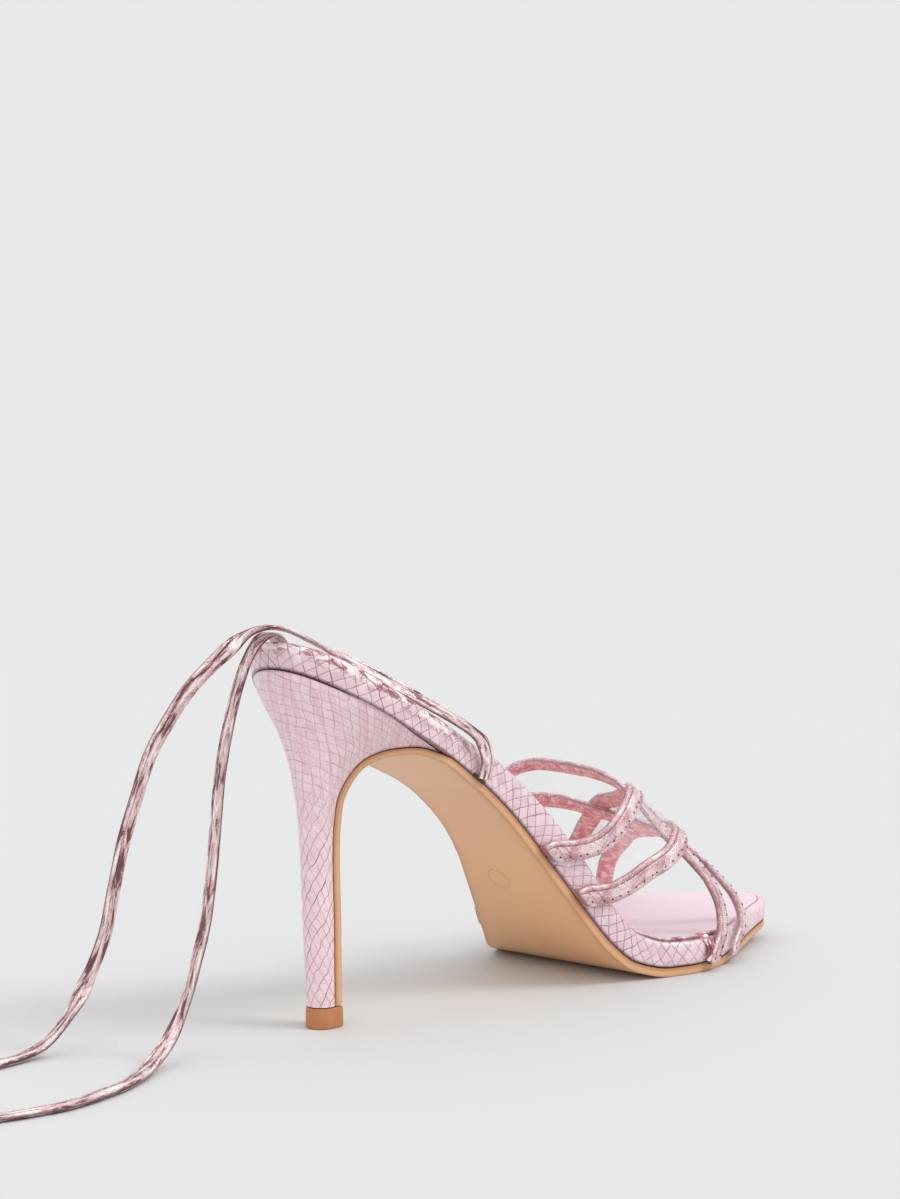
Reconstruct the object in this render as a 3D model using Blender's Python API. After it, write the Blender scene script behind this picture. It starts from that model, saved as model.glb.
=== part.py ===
"""A left high-heeled sandal: two crossing clear bands edged with narrow straps, and two long ties.

Tables are in millimetres. +X points to the toe, +Y to the wearer's left, which is the outer side
of this left shoe, and +Z up. The origin is the centre of the top piece on the floor.
"""

import math

import bmesh
import bpy
from mathutils import Vector

MM = 0.001
OBJECT = "lace_up_heeled_sandal"

# Driving sizes
FIT = 0.3
SEAT_BACK = -17.5
TOE_TIP = 190.6
RIM_ROUND = 1.5
RIM_BULGE = 0.2
SOCK_THICK = 1.0
SOCK_INSET = 2.6
TOP_PIECE_HEIGHT = 6.0
STRAP_WIDTH = 5.0
STRAP_THICK = 2.0
STRAP_STAND_OFF = 1.7
CROSSING_LIFT = 1.7
FILM_THICK = 0.7
UNDER_FILM_DROP = 0.35
FILM_FIT = 0.5
TIE_WIDTH = 4.6
TIE_THICK = 1.5

# The feather line, where the wrapped board meets the sole: height over the floor, the inner and
# outer edges of the board, the board's thickness, the sole's thickness, and the height of the
# foot that the straps were lasted over.
SOLE_COLUMNS = ("x", "feather", "inner", "outer", "board", "sole")
SOLE = (
    (-17.5, 103.8, 0.0, 0.0, 6.4, 2.2),
    (-13.5, 101.1, -13.3, 13.3, 6.9, 2.2),
    (-6.5, 96.5, -20.2, 20.2, 7.3, 2.2),
    (4.0, 90.2, -23.9, 23.9, 7.4, 2.2),
    (15.0, 84.0, -24.4, 24.4, 7.4, 2.2),
    (23.0, 79.7, -23.9, 23.4, 7.5, 2.2),
    (32.0, 74.8, -22.6, 20.4, 7.7, 2.3),
    (40.0, 70.5, -20.6, 16.8, 8.0, 2.4),
    (48.2, 65.9, -18.9, 14.2, 8.3, 2.4),
    (55.2, 61.0, -18.2, 13.2, 8.7, 2.5),
    (64.5, 53.1, -18.0, 13.4, 9.1, 2.5),
    (73.3, 43.9, -18.8, 14.7, 9.2, 2.6),
    (84.4, 29.7, -22.0, 18.6, 9.2, 2.6),
    (93.0, 18.4, -24.8, 22.2, 9.1, 2.6),
    (98.0, 12.9, -26.0, 24.8, 9.0, 2.6),
    (108.0, 5.7, -28.2, 31.6, 8.4, 2.6),
    (120.0, 3.0, -31.6, 38.0, 7.6, 2.7),
    (130.0, 3.0, -34.0, 39.3, 7.3, 2.7),
    (142.0, 3.0, -32.8, 38.3, 7.2, 2.7),
    (150.0, 3.3, -30.2, 36.6, 7.1, 2.7),
    (162.0, 4.2, -25.5, 31.6, 6.9, 2.6),
    (171.0, 5.2, -22.0, 24.0, 6.6, 2.6),
    (178.0, 6.0, -19.5, 14.6, 6.3, 2.5),
    (184.0, 6.9, -17.6, 5.2, 6.0, 2.4),
    (190.6, 7.9, -8.5, -8.5, 5.8, 2.3),
)

# The heel from the top piece up to the seat. Each row is a tilted slice: its front edge on the
# breast, which the sole's flap covers, its back edge, its widest half-width and the share of its
# length that the round back takes.
HEEL_COLUMNS = ("front_x", "front_z", "front_half", "back_x", "back_z", "half", "round", "flap")
HEEL = (
    (0.9, 6.3, 4.1, -4.5, 6.3, 4.2, 0.80, 3.0),
    (0.8, 20.0, 4.1, -5.4, 22.0, 4.3, 0.68, 3.0),
    (0.5, 34.0, 4.2, -6.1, 37.0, 4.5, 0.62, 3.0),
    (-0.1, 48.0, 4.4, -6.5, 51.0, 4.8, 0.61, 3.0),
    (-0.1, 58.5, 4.9, -7.2, 62.0, 5.4, 0.60, 3.0),
    (1.0, 67.2, 6.0, -8.6, 72.0, 6.9, 0.59, 2.9),
    (5.5, 74.8, 8.4, -10.6, 80.0, 9.5, 0.58, 2.5),
    (10.8, 78.4, 11.8, -13.0, 87.0, 13.0, 0.57, 2.2),
    (16.4, 79.6, 15.8, -15.2, 93.0, 17.2, 0.57, 2.0),
    (21.5, 79.4, 19.4, -16.8, 98.6, 21.1, 0.57, 2.0),
    (26.8, 77.4, 21.9, -17.5, 103.4, 23.9, 0.57, 2.0),
)

# Top line of the foot that the straps were lasted over.
FOOT_COLUMNS = ("x", "top")
FOOT = (
    (50.0, 88.0),
    (62.0, 84.0),
    (74.0, 80.5),
    (84.0, 76.5),
    (96.5, 71.0),
    (108.5, 65.0),
    (118.5, 58.2),
    (128.5, 49.8),
    (138.5, 41.6),
    (148.5, 34.8),
    (158.5, 28.4),
    (172.0, 20.5),
)

# Where the centre lines of the four straps lie along the shoe, at angles counted round the foot
# from the inner feather line (0) over the top to the outer one (180). The first pair edges the
# band on top, the second pair the band beneath it.
STRAP_COLUMNS = ("angle", "over_back", "over_front", "under_back", "under_front")
STRAPS = (
    (-14.0, 64.0, 74.0, 130.0, 140.0),
    (0.0, 74.8, 86.0, 135.5, 149.6),
    (10.0, 82.2, 95.2, 140.6, 157.8),
    (20.0, 89.4, 104.4, 141.6, 159.4),
    (35.0, 98.8, 118.6, 138.4, 157.8),
    (50.0, 109.2, 126.8, 122.4, 150.4),
    (70.0, 120.6, 137.6, 117.2, 143.4),
    (90.0, 130.6, 147.0, 115.0, 137.0),
    (110.0, 141.0, 155.8, 110.0, 128.8),
    (130.0, 144.8, 159.6, 101.5, 120.0),
    (155.0, 145.0, 162.4, 89.0, 107.5),
    (180.0, 141.5, 160.0, 76.5, 97.0),
    (194.0, 138.5, 157.0, 70.5, 91.5),
)

# The routes of the two flat ties, from the seam between board and sole to the cut end on the
# floor, and the way that the flat face looks at each point.
FACES = {
    "inner": Vector((0.0, -1.0, 0.0)),
    "outer": Vector((0.0, 1.0, 0.0)),
    "inner_up": Vector((0.0, -0.7, 0.7)),
    "outer_up": Vector((0.0, 0.7, 0.7)),
    "up": Vector((0.0, 0.0, 1.0)),
    "back": Vector((-1.0, 0.2, 0.25)),
}
TIE_COLUMNS = ("x", "y", "z", "face")
INNER_TIE = (
    (45.0, -21.4, 68.0, "inner"),
    (45.9, -21.9, 72.8, "inner"),
    (44.0, -22.4, 77.6, "inner"),
    (39.4, -22.4, 82.0, "inner_up"),
    (32.0, -21.4, 86.8, "inner_up"),
    (23.0, -19.0, 92.0, "inner_up"),
    (14.0, -15.2, 97.4, "inner_up"),
    (4.0, -10.6, 103.4, "inner_up"),
    (-5.0, -5.0, 109.2, "up"),
    (-14.0, 1.7, 114.6, "up"),
    (-22.3, 5.6, 113.8, "up"),
    (-31.4, 9.5, 106.6, "back"),
    (-38.6, 12.7, 99.1, "back"),
    (-44.0, 15.1, 91.1, "back"),
    (-49.3, 17.5, 81.3, "back"),
    (-53.1, 19.2, 69.4, "back"),
    (-56.6, 20.7, 57.5, "back"),
    (-59.4, 22.0, 43.6, "back"),
    (-61.8, 22.9, 32.4, "back"),
    (-65.9, 24.7, 21.7, "back"),
    (-70.6, 26.9, 11.9, "back"),
    (-77.2, 29.2, 4.4, "up"),
    (-85.4, 30.0, 1.5, "up"),
    (-94.5, 29.4, 1.2, "up"),
    (-104.0, 28.6, 1.2, "up"),
)
OUTER_TIE = (
    (45.0, 17.0, 68.0, "outer"),
    (45.9, 17.6, 72.8, "outer"),
    (44.0, 18.6, 77.6, "outer"),
    (39.4, 19.8, 82.2, "outer_up"),
    (32.0, 20.8, 87.0, "outer_up"),
    (23.0, 20.4, 91.8, "outer_up"),
    (14.0, 17.8, 97.0, "outer_up"),
    (4.0, 13.8, 102.4, "outer_up"),
    (-5.0, 9.6, 107.6, "up"),
    (-13.0, 5.8, 112.2, "up"),
    (-19.6, 4.0, 112.1, "up"),
    (-25.2, 3.4, 107.2, "back"),
    (-29.9, 3.1, 98.8, "back"),
    (-34.0, 2.6, 88.5, "back"),
    (-37.6, 2.2, 75.7, "back"),
    (-39.8, 1.7, 62.5, "back"),
    (-42.2, 1.3, 47.4, "back"),
    (-45.0, 0.8, 35.6, "back"),
    (-48.6, 0.4, 26.6, "back"),
    (-53.1, -0.1, 16.6, "back"),
    (-60.0, -1.3, 7.6, "up"),
    (-70.0, -4.8, 2.6, "up"),
    (-82.0, -10.8, 1.2, "up"),
    (-94.0, -15.4, 1.2, "up"),
    (-112.0, -18.6, 1.2, "up"),
    (-123.0, -17.6, 1.2, "up"),
    (-133.0, -15.4, 1.2, "up"),
    (-143.0, -12.8, 1.2, "up"),
)

# Counts of mesh steps
SOLE_STEPS = 40
STRAP_STEPS = 34
FILM_STEPS = 26
FILM_ACROSS = 3
TIE_STEP = 2.6

COLOURS = {
    "rose_foil": ((0.83, 0.56, 0.62), 0.32, 0.55),
    "rose_lining": ((0.80, 0.60, 0.66), 0.45, 0.0),
    "tan_sole": ((0.62, 0.35, 0.19), 0.5, 0.0),
    "top_piece_rubber": ((0.50, 0.21, 0.09), 0.55, 0.0),
    "clear_film": ((0.90, 0.88, 0.92), 0.08, 0.0),
}


def column(table, names, name):
    """Values of one named column of a table."""
    place = names.index(name)
    return [row[place] for row in table]


def monotone(xs, ys):
    """Smooth curve through the points that never overshoots them, as a function of x."""
    spans = [b - a for a, b in zip(xs, xs[1:])]
    rises = [(b - a) / h for a, b, h in zip(ys, ys[1:], spans)]
    slopes = [rises[0]]
    for before, after, left, right in zip(rises, rises[1:], spans, spans[1:]):
        if before * after <= 0.0:
            slopes.append(0.0)
        else:
            near, far = 2 * right + left, right + 2 * left
            slopes.append((near + far) / (near / before + far / after))
    slopes.append(rises[-1])

    def value(x):
        i = 0
        while i < len(spans) - 1 and x > xs[i + 1]:
            i += 1
        t = (x - xs[i]) / spans[i]
        if t < 0.0:
            return ys[0] + slopes[0] * (x - xs[0])
        if t > 1.0:
            return ys[-1] + slopes[-1] * (x - xs[-1])
        a = (1 + 2 * t) * (1 - t) ** 2 * ys[i] + t * (1 - t) ** 2 * spans[i] * slopes[i]
        b = t * t * (3 - 2 * t) * ys[i + 1] + t * t * (t - 1) * spans[i] * slopes[i + 1]
        return a + b

    return value


def through(points, steps):
    """Points along a smooth curve through rows of numbers, with some steps between two rows."""
    made = []
    for i in range(len(points) - 1):
        p1, p2 = points[i], points[i + 1]
        p0 = points[i - 1] if i else [2 * a - b for a, b in zip(p1, p2)]
        p3 = points[i + 2] if i + 2 < len(points) else [2 * b - a for a, b in zip(p1, p2)]
        for k in range(steps):
            t = k / steps
            made.append(
                [
                    0.5 * (2 * b + (c - a) * t + (2 * a - 5 * b + 4 * c - d) * t * t
                           + (3 * b - a - 3 * c + d) * t ** 3)
                    for a, b, c, d in zip(p0, p1, p2, p3)
                ]
            )
    made.append(list(points[-1]))
    return made


def share_of_length(x):
    """Place along the sole from 0 at the back to 1 at the tip, crowded at both round ends."""
    t = (x - SEAT_BACK) / (TOE_TIP - SEAT_BACK)
    return math.acos(max(-1.0, min(1.0, 1 - 2 * t))) / math.pi


def along(share):
    return SEAT_BACK + (TOE_TIP - SEAT_BACK) * (1 - math.cos(math.pi * share)) / 2


STATION = column(SOLE, SOLE_COLUMNS, "x")
SHARES = [share_of_length(x) for x in STATION]
feather = monotone(STATION, column(SOLE, SOLE_COLUMNS, "feather"))
board_thickness = monotone(STATION, column(SOLE, SOLE_COLUMNS, "board"))
sole_thickness = monotone(STATION, column(SOLE, SOLE_COLUMNS, "sole"))
inner_by_share = monotone(SHARES, column(SOLE, SOLE_COLUMNS, "inner"))
outer_by_share = monotone(SHARES, column(SOLE, SOLE_COLUMNS, "outer"))
foot_top = monotone(column(FOOT, FOOT_COLUMNS, "x"), column(FOOT, FOOT_COLUMNS, "top"))


def inner_edge(x):
    return inner_by_share(share_of_length(x))


def outer_edge(x):
    return outer_by_share(share_of_length(x))


def steepness(x):
    """Length along the sole for each millimetre along the floor."""
    slope = feather(x + 0.5) - feather(x - 0.5)
    return math.hypot(1.0, slope)


def board_top(x):
    return feather(x) + board_thickness(x) * steepness(x)


def face_out(work):
    """Turn all faces of a closed mesh outwards."""
    bmesh.ops.recalc_face_normals(work, faces=work.faces)
    if work.calc_volume(signed=True) < 0.0:
        bmesh.ops.reverse_faces(work, faces=work.faces)


def finish(mesh, name, material):
    """An object in the part's collection, with its normals out and its material."""
    work = bmesh.new()
    work.from_mesh(mesh)
    bmesh.ops.remove_doubles(work, verts=work.verts, dist=1e-7)
    face_out(work)
    work.to_mesh(mesh)
    work.free()
    mesh.shade_smooth()
    mesh.set_sharp_from_angle(angle=math.radians(35))
    piece = bpy.data.objects.new(name, mesh)
    mesh.materials.append(materials[material])
    parts.objects.link(piece)
    return piece


def loft(rings, name):
    """Closed mesh through rings of points in millimetres, capped at both ends."""
    work = bmesh.new()
    loops = [[work.verts.new(Vector(p) * MM) for p in ring] for ring in rings]
    for ring, after in zip(loops, loops[1:]):
        for i in range(len(ring)):
            j = (i + 1) % len(ring)
            work.faces.new((ring[i], ring[j], after[j], after[i]))
    for ring in (loops[0], loops[-1]):
        work.faces.new(ring)
    bmesh.ops.triangulate(work, faces=[f for f in work.faces if len(f.verts) > 4])
    mesh = bpy.data.meshes.new(name)
    work.to_mesh(mesh)
    work.free()
    return mesh


def outline(inset):
    """Plan of the board moved inwards: pairs of inner and outer points from the back to the tip."""
    shares = [i / SOLE_STEPS for i in range(SOLE_STEPS + 1)]
    inner = [Vector((along(s), inner_by_share(s))) for s in shares]
    outer = [Vector((along(s), outer_by_share(s))) for s in shares]
    loop = inner + outer[-2:0:-1]
    moved = []
    for i, p in enumerate(loop):
        before, after = loop[i - 1], loop[(i + 1) % len(loop)]
        run = (after - before).normalized()
        moved.append(p + Vector((-run.y, run.x)) * inset)
    return moved


def layer(levels, name):
    """Plate that follows the sole: each level is an inset and a height over a place on the sole."""
    work = bmesh.new()
    loops = []
    for inset, height in levels:
        loops.append([work.verts.new(Vector((p.x, p.y, height(p.x))) * MM) for p in outline(inset)])
    count = len(loops[0])
    for low, high in zip(loops, loops[1:]):
        for i in range(count):
            j = (i + 1) % count
            work.faces.new((low[i], low[j], high[j], high[i]))
    for loop in (loops[0], loops[-1]):
        for i in range(SOLE_STEPS):
            corners = (loop[i], loop[i + 1], loop[-i - 1], loop[-i] if i else loop[0])
            work.faces.new(list(dict.fromkeys(corners)))
    bmesh.ops.triangulate(work, faces=work.faces)
    mesh = bpy.data.meshes.new(name)
    work.to_mesh(mesh)
    work.free()
    return mesh


def make_board():
    """Thick wrapped insole board, with a round rim and a shallow bed for the sock."""
    def height(share):
        return lambda x: feather(x) + board_thickness(x) * steepness(x) * share

    levels = (
        (0.3, height(0.0)),
        (0.0, height(0.06)),
        (-RIM_BULGE, height(0.45)),
        (0.15, height(0.78)),
        (0.55 * RIM_ROUND, height(0.93)),
        (1.1 * RIM_ROUND, height(1.0)),
        (SOCK_INSET - FIT - 0.1, height(1.0)),
        (SOCK_INSET - FIT, lambda x: board_top(x) - SOCK_THICK * steepness(x)),
    )
    finish(layer(levels, "insole_board"), "insole_board", "rose_foil")


def make_sock():
    """Thin sock glued in the bed of the board, level with the rim."""
    def over(rise):
        return lambda x: board_top(x) + rise * steepness(x)

    levels = (
        (SOCK_INSET, over(FIT - SOCK_THICK)),
        (SOCK_INSET, over(FIT - 0.4 * SOCK_THICK)),
        (SOCK_INSET + 0.5, over(FIT)),
    )
    finish(layer(levels, "insole_sock"), "insole_sock", "rose_lining")


def sole_path():
    """The sole's upper face from the tip back along the shank and down the heel's breast.

    Each row is the place on the centre line, the inner and outer edges and the thickness.
    """
    rows = []
    breast = heel_rows()[::-1]
    last_x = breast[0]["front_x"] + 3.0
    share, stop = 0.988, share_of_length(last_x)
    steps = 36
    for i in range(steps + 1):
        x = along(share + (stop - share) * i / steps)
        rows.append((x, feather(x), inner_edge(x) + 0.3, outer_edge(x) - 0.3, sole_thickness(x)))
    for row in breast:
        half = row["front_half"]
        rows.append((row["front_x"], row["front_z"], -half, half, row["flap"]))
    return rows


def make_outsole():
    """Thin sole with a flap that runs down the breast of the heel."""
    rows = sole_path()
    rings = []
    for i, (x, z, inner, outer, thick) in enumerate(rows):
        before, after = rows[max(i - 1, 0)], rows[min(i + 1, len(rows) - 1)]
        run = Vector((after[0] - before[0], after[1] - before[1])).normalized()
        out = Vector((-run.y, run.x))
        edge = min(0.7, 0.3 * thick)
        profile = (
            (inner, FIT),
            (inner, thick + FIT - edge),
            (inner + edge, thick + FIT),
            (outer - edge, thick + FIT),
            (outer, thick + FIT - edge),
            (outer, FIT),
        )
        rings.append([(x + out.x * d, y, z + out.y * d) for y, d in profile])
    flat = [[(x, y, TOP_PIECE_HEIGHT + FIT) for x, y, z in rings[-1]]]
    finish(loft(rings[:-1] + flat, "outsole"), "outsole", "tan_sole")


def heel_rows():
    """The heel's slices with one more between each two, as named values."""
    return [dict(zip(HEEL_COLUMNS, row)) for row in through(HEEL, 2)]


def slice_points(row, grow=0.0):
    """Points round one tilted slice of the heel, as share of its length and half-width."""
    side_steps, round_steps = 4, 8
    shape = []
    straight = 1 - row["round"]
    for i in range(side_steps):
        t = i / side_steps
        shape.append((straight * t, row["front_half"] + (row["half"] - row["front_half"]) * t))
    for i in range(round_steps + 1):
        turn = math.pi / 2 * i / round_steps
        shape.append((straight + row["round"] * math.sin(turn), row["half"] * math.cos(turn)))
    inner = [(t, -half - grow) for t, half in shape[:-1]]
    outer = [(t, half + grow) for t, half in shape[-2::-1]]
    return inner + [(1.0, 0.0)] + outer


def make_heel():
    """Slender covered heel: flat breast, round back, wide seat under the board."""
    rings = []
    rows = heel_rows()
    for row in rows:
        front = Vector((row["front_x"], row["front_z"]))
        back = Vector((row["back_x"], row["back_z"]))
        ring = []
        for t, y in slice_points(row):
            p = front.lerp(back, t)
            z = feather(p.x) - 1.5 * FIT if row is rows[-1] else p.y
            ring.append((p.x, y, z))
        rings.append(ring)
    finish(loft(rings, "heel"), "heel", "rose_foil")


def make_top_piece():
    """Hard rubber lift under the heel and the end of the flap."""
    tip = dict(zip(HEEL_COLUMNS, HEEL[0]))
    front = tip["front_x"] + tip["flap"] + 0.4
    back = tip["back_x"] - 0.2
    half = tip["half"] + 0.1
    rings = []
    for z, grow in ((0.0, -0.25), (0.4, 0.1), (TOP_PIECE_HEIGHT - 0.4, 0.0), (TOP_PIECE_HEIGHT, -0.15)):
        ring = [(front + grow, -half - grow, z)]
        centre = back + half
        for i in range(15):
            turn = math.pi * i / 14
            radius = half + grow
            ring.append((centre - radius * math.sin(turn), -radius * math.cos(turn), z))
        ring.append((front + grow, half + grow, z))
        rings.append(ring)
    finish(loft(rings, "top_piece"), "top_piece", "top_piece_rubber")


def foot_point(x, angle, lift=0.0):
    """A place on the foot: along the shoe, and round it from the inner feather line."""
    inner, outer = inner_edge(x), outer_edge(x)
    middle = (inner + outer) / 2
    half = (outer - inner) / 2 + STRAP_STAND_OFF
    turn = math.radians(angle)
    aside = math.copysign(abs(math.cos(turn)) ** 0.7, math.cos(turn))
    rise = math.copysign(abs(math.sin(turn)) ** 0.8, math.sin(turn))
    base = feather(x)
    point = Vector((x, middle - half * aside, base + (foot_top(x) - base) * rise))
    if lift:
        point += foot_frame(x, angle)[2] * lift
    return point


def foot_frame(x, angle):
    """Directions on the foot at a place: along the shoe, round the foot, and out of it."""
    forward = foot_point(x + 0.5, angle) - foot_point(x - 0.5, angle)
    round_it = foot_point(x, angle + 0.5) - foot_point(x, angle - 0.5)
    return forward, round_it, forward.cross(round_it).normalized()


def crossing_lift(angle):
    """The upper band climbs over the lower one in the middle and lies down at both ends."""
    rise = min(1.0, max(0.0, (angle - 12.0) / 24.0), 1.0)
    fall = min(1.0, max(0.0, (158.0 - angle) / 38.0))
    share = min(rise, fall)
    return CROSSING_LIFT * share * share * (3 - 2 * share)


def strap_curve(name):
    return monotone(column(STRAPS, STRAP_COLUMNS, "angle"), column(STRAPS, STRAP_COLUMNS, name))


def strap_angles(steps):
    """Angles from just below one feather line to just below the other, crowded near both."""
    low, high = STRAPS[0][0], STRAPS[-1][0]
    made = []
    for i in range(steps + 1):
        t = i / steps
        crowded = 0.35 * (1 - math.cos(math.pi * t)) / 2 + 0.65 * t
        made.append(low + (high - low) * crowded)
    return made


def flat_section(width, thick, edge):
    """Corners of a flat strip with bevelled edges: across it and out of it."""
    a, b = width / 2, thick / 2
    return (
        (-a, -b + edge), (-a + edge, -b), (a - edge, -b), (a, -b + edge),
        (a, b - edge), (a - edge, b), (-a + edge, b), (-a, b - edge),
    )


def sweep(points, normals, section):
    """Rings of a strip along points, flat side to the normals."""
    rings = []
    for i, p in enumerate(points):
        run = (points[min(i + 1, len(points) - 1)] - points[max(i - 1, 0)]).normalized()
        out = (normals[i] - run * normals[i].dot(run)).normalized()
        across = run.cross(out)
        rings.append([p + across * a + out * b for a, b in section])
    return rings


def make_strap(name, over):
    """One narrow folded strap, laid round the foot."""
    place = strap_curve(name)
    angles = strap_angles(STRAP_STEPS)
    points = [foot_point(place(a), a, crossing_lift(a) if over else 0.0) for a in angles]
    normals = [foot_frame(place(a), a)[2] for a in angles]
    section = flat_section(STRAP_WIDTH, STRAP_THICK, 0.6)
    return loft(sweep(points, normals, section), name)


def below_feather():
    """Cutter that takes away what reaches under the feather line."""
    rings = []
    for i in range(41):
        x = 50.0 + 3.4 * i
        top = feather(min(x, TOE_TIP)) - FIT
        rings.append([(x, -60.0, top), (x, 60.0, top), (x, 60.0, -60.0), (x, -60.0, -60.0)])
    mesh = loft(rings, "below_feather")
    return cutter(mesh, "below_feather")


def cutter(mesh, name):
    work = bmesh.new()
    work.from_mesh(mesh)
    face_out(work)
    work.to_mesh(mesh)
    work.free()
    piece = bpy.data.objects.new(name, mesh)
    piece.hide_render = True
    piece.display_type = "WIRE"
    cutters.objects.link(piece)
    return piece


def boolean(piece, other, operation):
    change = piece.modifiers.new(operation.lower(), "BOOLEAN")
    change.operation = operation
    change.solver = "EXACT"
    change.object = other


def make_upper():
    """The four straps, joined where the two bands cross and cut off at the feather line."""
    names = STRAP_COLUMNS[1:]
    first = finish(make_strap(names[0], True), "upper_straps", "rose_foil")
    for name in names[1:]:
        boolean(first, cutter(make_strap(name, name.startswith("over")), name), "UNION")
    boolean(first, below_feather(), "DIFFERENCE")


def film_edge(name, angle, side):
    """Place on the foot just beside a strap, as along the shoe and round the foot."""
    place = strap_curve(name)
    x = place(angle)
    forward, round_it, out = foot_frame(x, angle)
    run = (foot_point(place(angle + 1.0), angle + 1.0) - foot_point(place(angle - 1.0), angle - 1.0))
    across = out.cross(run.normalized()) * side * (STRAP_WIDTH / 2 + FILM_FIT)
    ff, rr, fr = forward.dot(forward), round_it.dot(round_it), forward.dot(round_it)
    af, ar = across.dot(forward), across.dot(round_it)
    scale = ff * rr - fr * fr
    return x + (af * rr - ar * fr) / scale, angle + (ar * ff - af * fr) / scale


def make_film(name, back, front, lift):
    """Clear film between the two straps of a band."""
    side = 1.0
    probe = film_edge(back, 60.0, side)[0] - strap_curve(back)(60.0)
    if probe < 0:
        side = -1.0
    rings = []
    low, high = 2.0, 178.0
    for i in range(FILM_STEPS + 1):
        angle = low + (high - low) * i / FILM_STEPS
        x0, a0 = film_edge(back, angle, side)
        x1, a1 = film_edge(front, angle, -side)
        top, bottom = [], []
        for k in range(FILM_ACROSS + 1):
            t = k / FILM_ACROSS
            x, a = x0 + (x1 - x0) * t, a0 + (a1 - a0) * t
            top.append(foot_point(x, a, lift(a) + FILM_THICK / 2))
            bottom.append(foot_point(x, a, lift(a) - FILM_THICK / 2))
        rings.append(top + bottom[::-1])
    piece = finish(loft(rings, name), name, "clear_film")
    boolean(piece, cutters.objects["below_feather"], "DIFFERENCE")


def make_tie(name, route):
    """Flat folded tie along its route."""
    rows = [(x, y, z, *FACES[face]) for x, y, z, face in route]
    fine = through(rows, 6)
    kept = [fine[0]]
    for row in fine[1:]:
        if (Vector(row[:3]) - Vector(kept[-1][:3])).length >= TIE_STEP:
            kept.append(row)
    kept[-1] = fine[-1]
    points = [Vector(row[:3]) for row in kept]
    normals = [Vector(row[3:]) for row in kept]
    section = flat_section(TIE_WIDTH, TIE_THICK, 0.5)
    finish(loft(sweep(points, normals, section), name), name, "rose_foil")


def make_material(name):
    colour, roughness, metallic = COLOURS[name]
    made = bpy.data.materials.new(name)
    made.use_nodes = True
    shader = made.node_tree.nodes["Principled BSDF"]
    shader.inputs["Base Color"].default_value = (*colour, 1.0)
    shader.inputs["Roughness"].default_value = roughness
    shader.inputs["Metallic"].default_value = metallic
    if name == "clear_film":
        shader.inputs["Transmission Weight"].default_value = 0.9
    return made


for old in list(bpy.data.objects):
    bpy.data.objects.remove(old, do_unlink=True)

parts = bpy.data.collections.new(OBJECT)
cutters = bpy.data.collections.new("cutters")
bpy.context.scene.collection.children.link(parts)
bpy.context.scene.collection.children.link(cutters)
materials = {name: make_material(name) for name in COLOURS}

make_board()
make_sock()
make_outsole()
make_heel()
make_top_piece()
make_upper()
make_film("clear_band_over", "over_back", "over_front", lambda a: crossing_lift(a) + 0.1)
make_film("clear_band_under", "under_back", "under_front", lambda a: -UNDER_FILM_DROP)
make_tie("tie_inner", INNER_TIE)
make_tie("tie_outer", OUTER_TIE)
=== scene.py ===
"""A left high-heeled sandal with two crossing clear bands and two long flat ties.

Tables are in millimetres. +X points to the toe, +Y to the outer side of this left shoe, +Z up,
and the origin is the middle of the heel tip on the floor.
"""

import math

import bmesh
import bpy
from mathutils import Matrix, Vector


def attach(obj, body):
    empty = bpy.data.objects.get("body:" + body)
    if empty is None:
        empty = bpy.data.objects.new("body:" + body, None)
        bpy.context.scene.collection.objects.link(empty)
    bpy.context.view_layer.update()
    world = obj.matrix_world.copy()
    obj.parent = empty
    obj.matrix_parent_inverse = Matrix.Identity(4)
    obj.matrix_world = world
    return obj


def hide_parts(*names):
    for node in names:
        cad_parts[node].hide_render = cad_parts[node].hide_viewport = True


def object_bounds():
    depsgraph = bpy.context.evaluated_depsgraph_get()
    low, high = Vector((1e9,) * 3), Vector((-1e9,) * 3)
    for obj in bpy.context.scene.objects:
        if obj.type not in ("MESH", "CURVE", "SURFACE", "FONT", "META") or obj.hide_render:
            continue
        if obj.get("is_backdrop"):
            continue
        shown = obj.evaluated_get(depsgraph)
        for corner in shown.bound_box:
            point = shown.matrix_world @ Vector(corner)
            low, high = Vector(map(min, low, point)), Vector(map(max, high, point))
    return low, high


MM = 0.001
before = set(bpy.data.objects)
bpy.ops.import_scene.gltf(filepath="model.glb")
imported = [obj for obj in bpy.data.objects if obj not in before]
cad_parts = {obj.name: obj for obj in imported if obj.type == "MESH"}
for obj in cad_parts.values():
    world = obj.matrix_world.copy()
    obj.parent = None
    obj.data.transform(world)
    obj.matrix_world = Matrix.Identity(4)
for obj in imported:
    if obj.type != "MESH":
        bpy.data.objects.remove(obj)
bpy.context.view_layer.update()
scene = bpy.context.scene


# Camera: at the height of the ankle, behind the inner side of the shoe and tilted slightly down.
# A long lens keeps the heel upright and the lines of the sole nearly parallel.
YAW, PITCH = math.radians(42.0), math.radians(5.67)
look = Vector((math.cos(YAW) * math.cos(PITCH), math.sin(YAW) * math.cos(PITCH), -math.sin(PITCH)))
camera_data = bpy.data.cameras.new("camera")
camera_data.sensor_fit = "VERTICAL"
camera_data.sensor_height = 36.0
camera_data.lens = 105.09
camera_data.clip_end = 300.0
camera = bpy.data.objects.new("camera", camera_data)
camera.location = Vector((-700.66, -679.62, 218.52)) * MM
camera.rotation_euler = look.to_track_quat("-Z", "Y").to_euler()
scene.collection.objects.link(camera)
scene.camera = camera
scene.view_settings.view_transform = "Standard"

# Studio: a plain matt floor that fades into an even pale sky, so that no horizon shows. A broad
# key light from the right draws soft shadows, and a weaker light behind the camera fills them.


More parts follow.
